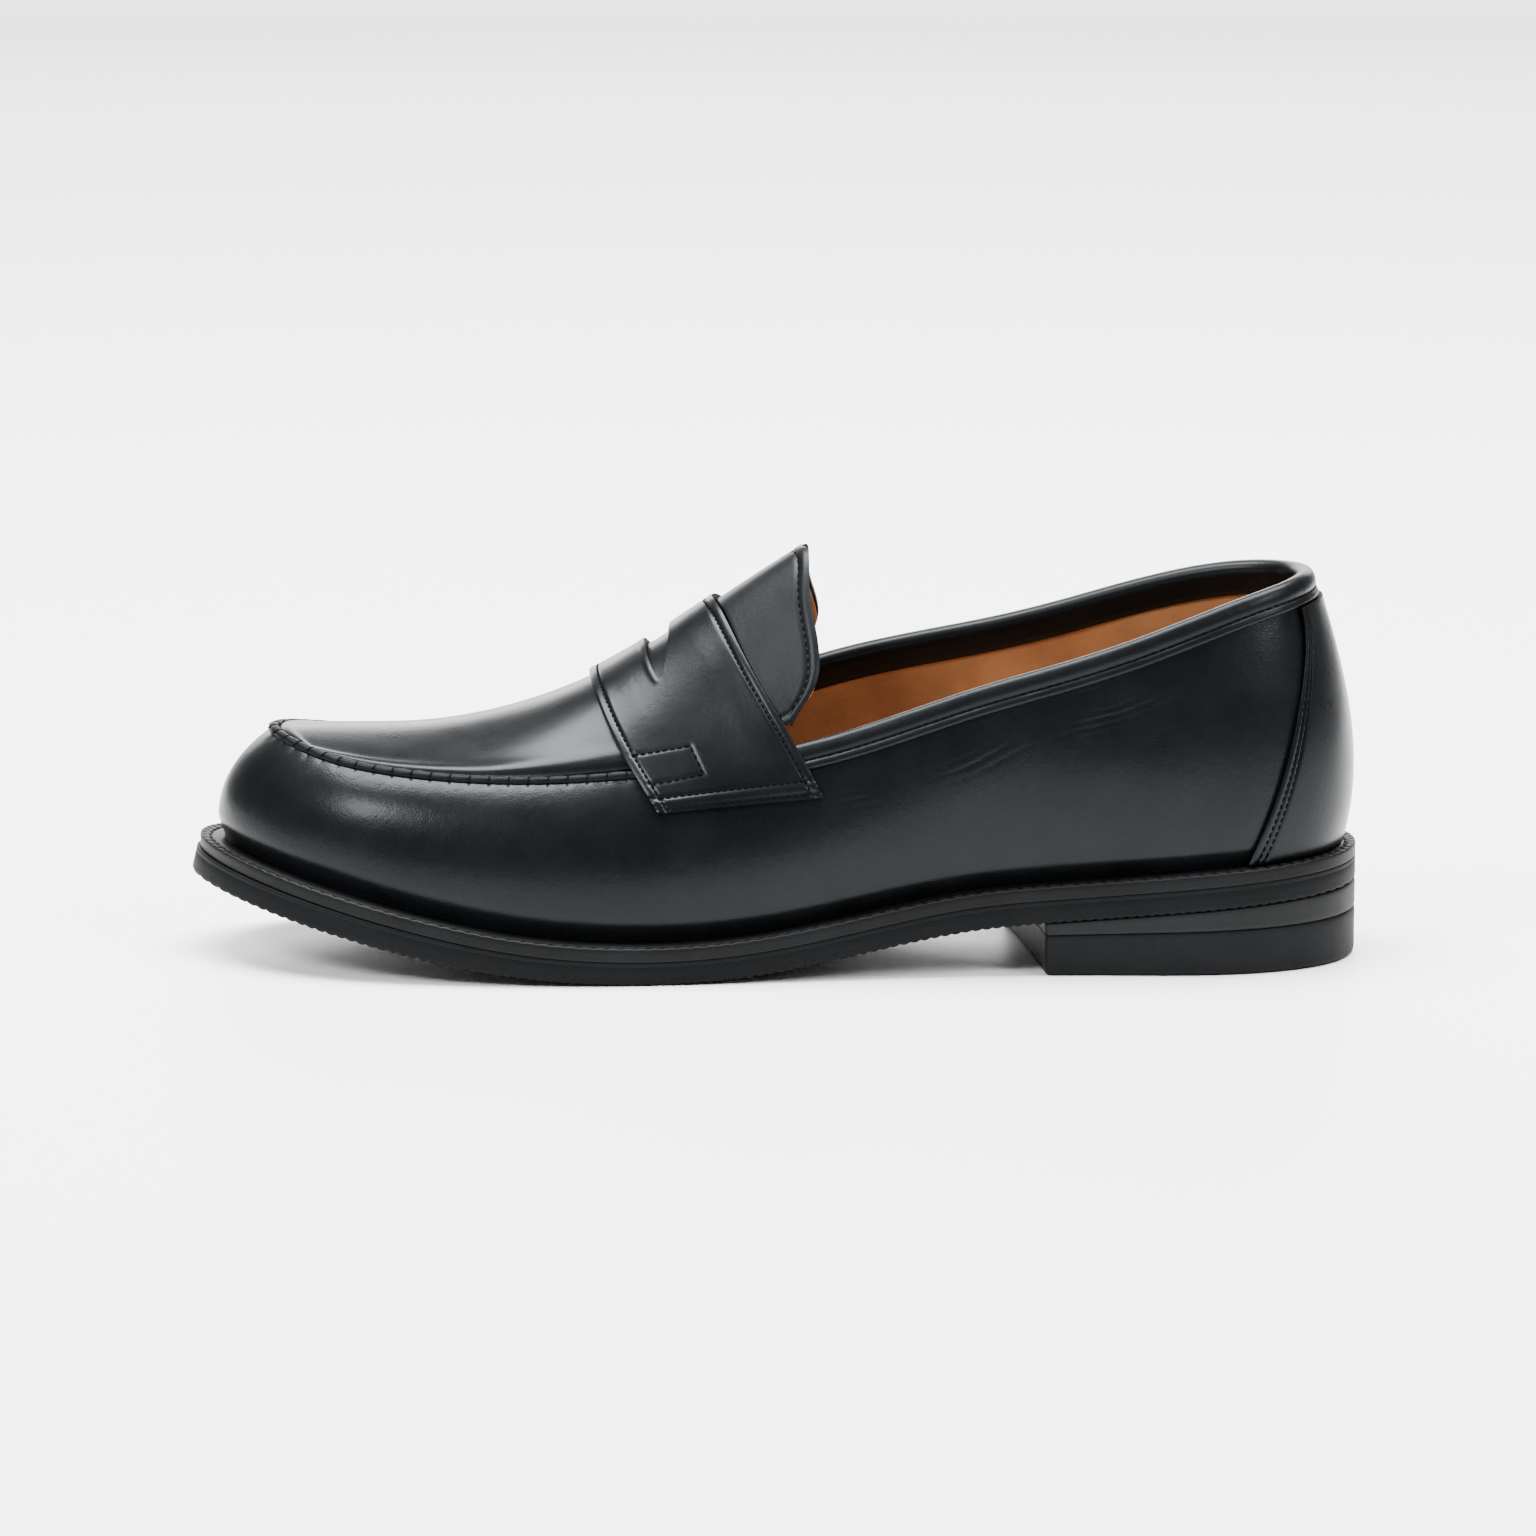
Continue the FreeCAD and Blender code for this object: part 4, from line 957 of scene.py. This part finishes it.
rim_rows = spread(0.89, 1.0, 0.008)
cover_rows = np.sort(np.concatenate((spread(-0.88, 0.88, 0.03), rim_rows, -rim_rows)))
S, F = np.meshgrid(cover_rows, spread(FOOT, COVER_TOP, 0.014), indexing="ij")
lift = GAP + COVER + cover_relief(S, F)
finish_piece(skin("heel_cover", on_cover(S, F), lift, COVER, 0.3, cut_edge),
             calf, "counter_cover")
cover_thread = Threads()
for row_mm in COVER_ROWS:
    for sign in (-1, 1):
        f = np.linspace(0.03, COVER_TOP - 0.01, 60)
        row = np.full_like(f, sign * (1 - row_mm / COVER_HALF_MM))
        path, up = on(on_cover, row, f, GAP + COVER - 0.10)
        cover_thread.row(path, up, 1.9, 1.4, 0.5, 0.36)
cover_thread.piece("heel_cover_stitches", black_thread)

# ---- topline binding
BINDING_START = 2.0 * GRADE_X
binding_from = {side: float(wall_place(BINDING_START, 1.0, side)) for side in (-1, 1)}
BINDING = ((0.02, -6.15), (0.62, -6.1), (0.92, -5.6), (0.95, -4.9), (0.80, -4.25), (0.38, -3.75),
           (0.82, -3.25), (1.12, -2.5), (1.22, -1.5), (1.10, -0.4), (0.70, 0.55), (0.0, 1.15),
           (-1.0, 1.42), (-2.0, 1.36), (-3.0, 0.85), (-3.6, -0.1), (-3.85, -1.2), (-3.85, -3.0),
           (-3.85, -5.0), (-3.85, -6.6), (-3.65, -7.05), (-3.05, -7.05), (-3.05, -3.0),
           (-3.05, 0.0), (0.02, 0.0), (0.02, -3.0))

binding_ats = np.linspace(binding_from[1] - 1, binding_from[-1], 620)
point, out, up, _ = guide_frames(binding_ats)
binding = np.zeros((len(binding_ats), len(BINDING), 3))
for k, (deep, high) in enumerate(BINDING):
    soft = 0.07 * broad(binding_ats * ROUND_MM / 9, k / 2.5)
    soft += 0.04 * fine(binding_ats * ROUND_MM / 2.2, k / 1.5)
    binding[:, k] = point + out * (deep + soft * (deep > 0.3))[:, None] + up * high
faces = grid_faces(*binding.shape[:2], across=True)[:, ::-1].tolist()
count = len(BINDING)
faces += [list(range(count)), [len(binding_ats) * count - 1 - k for k in range(count)]]
finish_piece(mesh_object("topline_roll", binding, faces),
             binding_calf, "topline_binding", slot="binding_leather")
binding_thread = Threads()
path = point + out * 0.62 + up * -3.75
binding_thread.row(path, out, 2.3, 1.75, 0.5, 0.36)
binding_thread.piece("topline_stitches", black_thread)


# ---- linings and footbed
def fade(at, centre, share):
    away = np.abs((at - centre + 0.5) % 1 - 0.5)
    return 1 - smooth((away - share + 0.035) / 0.035)


def lining_high(at, rise):
    high = 1 - smooth((rise - 0.78) / 0.14)
    stiff = STIFFENER * (fade(at, 0.0, 0.135) + fade(at, TOE_AT, 0.085)) * high
    return -UPPER - 2 * GAP - stiff


lining_ats = np.linspace(binding_from[1] - 1, binding_from[-1], 420)
lining_rises = refined(FOOT, 0.97, 0.02, (0.9,), 0.008, 0.08)
AT, RISE = np.meshgrid(lining_ats, lining_rises, indexing="ij")
relief = -0.18 * broad(AT * ROUND_MM / 25, RISE * 3)
relief -= 0.25 * creases(AT * ROUND_MM, RISE * 60, 30, 6)
lift = lining_high(AT, RISE) + relief * smooth((0.9 - RISE) / 0.2)
finish_piece(skin("quarter_tan_lining", wall(AT, RISE), lift, LINING),
             tan_leather, "quarter_lining", slot="tan_lining")
lining_thread = Threads()
path = point - out * 2.98 - up * 8.7
lining_thread.row(path, -out, 2.6, 1.9, 0.5, 0.4)
lining_thread.piece("lining_stitches", tan_thread)


INSOLE, PAD, SOCK, BED_GAPS = 2.5, 1.4, 1.2, 0.26


def sock_top(x):
    return seat(x) + BED_GAPS + INSOLE + SOCK + PAD * smooth((x - 70.0) / 18.0)


def insole_edge(at):
    """How far the sock liner's edge lies inside the sole edge."""
    return reach(at) + UPPER + LINING + 2.2


def lean(x):
    """The sole's edge stays square to the sole where the toe springs up."""
    return (seat(x - 4) - seat(x)) / 4 * smooth((-20 - x) / 60)


def welt_point(at, inset):
    """Point of the welt's top face, inset from the edge."""
    x, y, _, _ = edge(at, inset)
    return np.stack((x, y, seat(x)), -1)


SPINE_X = 112.0


def inward(at, inset, level, count):
    """Rows from an inset line to the sole's middle line, at growing steps."""
    x, y, _, _ = edge(at, inset)
    middle_x = np.clip(x, -SPINE_X, SPINE_X)
    rows = []
    for share in (np.arange(1, count + 1) / count) ** 1.3:
        px, py = x + (middle_x - x) * share, y * (1 - share) + 1.5 * share
        z = level(px, py)
        rows.append(np.stack((px + lean(px) * (z - seat(px)), py, z), -1))
    return rows


# ---- footbed
foot_ats = np.linspace(0, 1, 401)[:-1]
footbed = []
for inset, down in ((0.0, 1.2), (0.0, 0.35), (0.35, 0.05), (1.0, 0.0), (2.2, 0.0)):
    x, y, _, _ = edge(foot_ats, insole_edge(foot_ats) + inset)
    footbed.append(np.stack((x, y, sock_top(x) - down), -1))
footbed += inward(foot_ats, insole_edge(foot_ats) + 3.0,
                  lambda x, y: sock_top(x) + 0.10 * broad(x / 18, y / 14), 18)
footbed = np.stack(footbed, 1)
faces = grid_faces(*footbed.shape[:2], closed=True)
finish_piece(mesh_object("sock_leather", footbed, faces, weld=0.01),
             tan_leather, "sock_liner", slot="tan_lining")

# ---- welt and sole
WELT_PITCH, WELT_ROW = 3.5, 2.6
ring_ats = np.linspace(0, 1, 2401)[:-1]
ring_edge = np.stack(edge(ring_ats)[:2], -1)
ring_run = run_along(np.vstack((ring_edge, ring_edge[:1])))
WELT_STITCHES = int(ring_run[-1] / WELT_PITCH)
ring_phase = ring_run[:-1] / ring_run[-1] * WELT_STITCHES
wheel = bump((ring_phase % 1) - 0.5, 0.16)
# Outline of the welt: inset from its edge, height from its top.
WELT_OUTLINE = ((11.9, 0.0), (8.0, 0.0), (5.6, 0.0), (4.4, 0.02), (3.6, -0.10), (3.1, -0.40),
                (2.6, -0.52), (2.1, -0.40), (1.65, -0.06), (1.2, 0.02), (0.75, 0.0),
                (0.38, -0.10), (0.12, -0.34), (0.0, -0.75), (0.0, -1.7), (0.0, -2.6),
                (0.0, -3.2), (0.03, -3.42), (0.12, -3.56), (11.9, -3.59))
rows = []
for inset, down in WELT_OUTLINE:
    ring = welt_point(ring_ats, inset)
    ring[:, 2] += down - 0.30 * wheel * bump(inset - 1.1, 0.9) * (down > -0.5)
    rows.append(ring)
welt_grid = np.stack(rows, 1)
welt_faces = grid_faces(*welt_grid.shape[:2], closed=True, across=True)
finish_piece(mesh_object("welt_strip", welt_grid, welt_faces[:, ::-1]),
             welt_rubber, "welt", slot="welt_rubber")
welt_thread = Threads()
closed_ats = np.append(ring_ats, 1.0)
path = welt_point(closed_ats, WELT_ROW) + np.array((0, 0, -0.34))
upward = np.tile((0.0, 0.0, 1.0), (len(path), 1))
welt_thread.row(path, upward, WELT_PITCH, 2.7, 0.85, 0.6, start=0.0)
welt_thread.piece("welt_stitches", welt_cord, "welt_thread")

# Outline of the sole's side, from the welt down: inset from its edge, height.
SOLE_SIDE = ((0.9, 0.0), (0.14, -0.02), (0.03, -0.14), (0.0, -0.4), (0.0, -0.95), (0.09, -1.15),
             (0.09, -1.25), (0.0, -1.45), (0.0, -3.2), (0.0, -4.8), (0.05, -5.5), (0.22, -5.85),
             (0.6, -6.0), (1.6, -6.0))
TREAD_PITCH, TREAD_DEPTH, RIM_DEPTH = 2.6, 0.45, 0.35


def cross_ribs(x):
    return bump(((x / TREAD_PITCH) % 1) - 0.5, 0.22)


rows = inward(ring_ats, 0.9, lambda x, y: seat(x) - WELT, 10)[::-1]
rib = RIM_DEPTH * cross_ribs(ring_edge[:, 0])
for inset, down in SOLE_SIDE:
    side = welt_point(ring_ats, inset)
    side[:, 0] += lean(side[:, 0]) * (down - WELT)
    side[:, 2] += down - WELT + (rib if down < -5.5 else 0)
    rows.append(side)
rows += inward(ring_ats, 1.6, lambda x, y: under(x) + TREAD_DEPTH * cross_ribs(x), 26)
sole_grid = np.stack(rows, 1)
faces = grid_faces(*sole_grid.shape[:2], closed=True)[:, ::-1]
finish_piece(mesh_object("outsole_tread", sole_grid, faces, weld=0.01),
             sole_rubber, "outsole", slot="outsole_rubber")

# ---- heel
BREAST, BREAST_SLANT, BREAST_BOW, BREAST_HALF = 62.5, -0.125, 2.5, 102.0
TOP_PIECE_FRONT, TOP_PIECE_BACK = 10.3, 12.2


def lift_low(x):
    return TOP_PIECE_FRONT + (TOP_PIECE_BACK - TOP_PIECE_FRONT) * (x - 67.0) / (150.0 - 67.0)


def breast_x(y):
    return BREAST + BREAST_SLANT * y + BREAST_BOW * (1 - (y / BREAST_HALF) ** 2)


def heel_end(side):
    """How far round from the back of the heel its breast meets the sole's edge."""
    return float(find(lambda at: edge(side * at)[0] > breast_x(edge(side * at)[1]), 0.05, 0.3))


def heel_outline(step):
    """Closed outline of the heel from above, with its outward directions."""
    x, y, _, _ = edge(np.linspace(-heel_end(-1), heel_end(1), int(190 / step)))
    ys = np.linspace(y[-1], y[0], int(75 / step))[1:-1]
    ring = np.stack((np.append(x, breast_x(ys)), np.append(y, ys)), -1)
    for _ in range(3):
        ring = (np.roll(ring, 1, axis=0) + 2 * ring + np.roll(ring, -1, axis=0)) / 4
    along = np.roll(ring, -1, axis=0) - np.roll(ring, 1, axis=0)
    return ring, unit(np.stack((-along[:, 1], along[:, 0]), -1))


def heel_slab(name, low, high, profile):
    """Slab of the heel between two heights; the profile is insets and shares of them."""
    ring, out = heel_outline(0.8)
    hub = ring.mean(axis=0)
    rows = []
    for share in (0.05, 0.5, 0.9):
        flat = hub + (ring - hub) * share
        rows.append(np.column_stack((flat, high(flat[:, 0]))))
    for inset, share in profile:
        flat = ring - out * inset
        top, bottom = high(flat[:, 0]), low(flat[:, 0])
        rows.append(np.column_stack((flat, bottom + (top - bottom) * share)))
    for share in (0.94, 0.86, 0.7, 0.5, 0.3, 0.1, 0.02):
        flat = hub + (ring - out * 1.5 - hub) * share
        rows.append(np.column_stack((flat, low(flat[:, 0]))))
    grid = np.stack(rows, 1)
    count = grid.shape[1]
    faces = grid_faces(*grid.shape[:2], closed=True)[:, ::-1].tolist()
    faces += [[k * count for k in range(len(ring))],
              [k * count + count - 1 for k in reversed(range(len(ring)))]]
    return mesh_object(name, grid, faces, outward=True)


LIFT_SIDE = ((0.8, 1.0), (0.30, 0.985), (0.08, 0.93), (0.0, 0.85), (0.02, 0.6), (0.05, 0.4),
             (0.02, 0.2), (0.08, 0.08), (0.30, 0.015), (0.8, 0.0))
TOP_PIECE_SIDE = ((0.8, 1.0), (0.32, 0.99), (0.10, 0.95), (0.0, 0.88), (0.03, 0.7), (0.06, 0.4),
                  (0.03, 0.2), (0.10, 0.10), (0.28, 0.045), (0.7, 0.012), (1.4, 0.0))
finish_piece(heel_slab("heel_wedge", lambda x: lift_low(x) + 0.02, under, LIFT_SIDE),
             lift_rubber, "heel_lift", slot="heel_rubber")
finish_piece(heel_slab("heel_tread", lambda x: 0 * x, lift_low, TOP_PIECE_SIDE),
             heel_rubber, "heel_top_piece", slot="heel_rubber")

# ---- carried-over nodes
CARRIED = {
    "insole_rib": fibre_board, "cork_filler": cork, "shank_board": stiff_board, "shank": steel,
    "insole": fibre_board, "heel_pad": foam, "heel_nails": steel, "vamp_lining": tan_leather,
    "heel_stiffener": stiff_board, "toe_puff": stiff_board, "apron_lining": tan_leather,
    "strap_backing": calf,
}
for name, material in CARRIED.items():
    paint_node(name, material)

# ---- floor, light, camera
FLOOR_HALF, SWEEP, SWEEP_HIGH = 6.0, 1.2, 1.6
turns = np.linspace(0, math.pi / 2, 13)
sweep = [(-FLOOR_HALF, 0.0)]
sweep += [(FLOOR_HALF - SWEEP + SWEEP * math.sin(t), SWEEP * (1 - math.cos(t))) for t in turns]
sweep.append((FLOOR_HALF, SWEEP_HIGH))
floor_grid = np.array([[(x, y, z) for y, z in sweep] for x in (-FLOOR_HALF, FLOOR_HALF)]) / MM
floor = mesh_object("floor", floor_grid, grid_faces(*floor_grid.shape[:2])[:, ::-1])
floor_paint = bpy.data.materials.new("floor_paint")
floor_paint.use_nodes = True
set_inputs(floor_paint.node_tree.nodes["Principled BSDF"],
           {"Base Color": (0.90, 0.90, 0.90, 1), "Roughness": 0.45})
floor.data.materials.append(floor_paint)

world = bpy.data.worlds.new("studio")
bpy.context.scene.world = world
world.use_nodes = True
set_inputs(world.node_tree.nodes["Background"],
           {"Color": (0.95, 0.97, 1.0, 1), "Strength": 0.30})


def softbox(name, place, target, width, depth, power):
    light = bpy.data.lights.new(name, "AREA")
    light.shape, light.size, light.size_y = "RECTANGLE", width, depth
    light.energy = power
    item = add_object(name, light)
    item.location = place
    item.rotation_euler = (Vector(target) - Vector(place)).to_track_quat("-Z", "Y").to_euler()


softbox("overhead", (0.0, 0.30, 2.4), (0, 0, 0.05), 2.6, 1.3, 400)
softbox("rear", (0.0, 2.6, 1.0), (0, 0, 0.06), 3.0, 0.8, 70)
softbox("key", (-1.6, -1.6, 2.0), (0, 0, 0.05), 0.9, 0.9, 90)
softbox("fill", (1.8, -1.4, 1.6), (0.05, 0, 0.05), 0.7, 0.7, 40)
softbox("backdrop", (0.0, 3.4, 1.9), (0, 5.6, 0.3), 5.0, 0.8, 300)

TARGET_Z, DISTANCE, ELEVATION = 0.047, 2.0, math.radians(10)
SENSOR_MM, LENS_MM, SHIFT_X = 36.0, 182.671875, -0.0022786458
camera = bpy.data.cameras.new("camera")
camera.sensor_width, camera.lens, camera.shift_x = SENSOR_MM, LENS_MM, SHIFT_X
view = add_object("camera", camera)
view.location = (0, -DISTANCE * math.cos(ELEVATION), TARGET_Z + DISTANCE * math.sin(ELEVATION))
view.rotation_euler = (math.pi / 2 - ELEVATION, 0, 0)
bpy.context.scene.camera = view
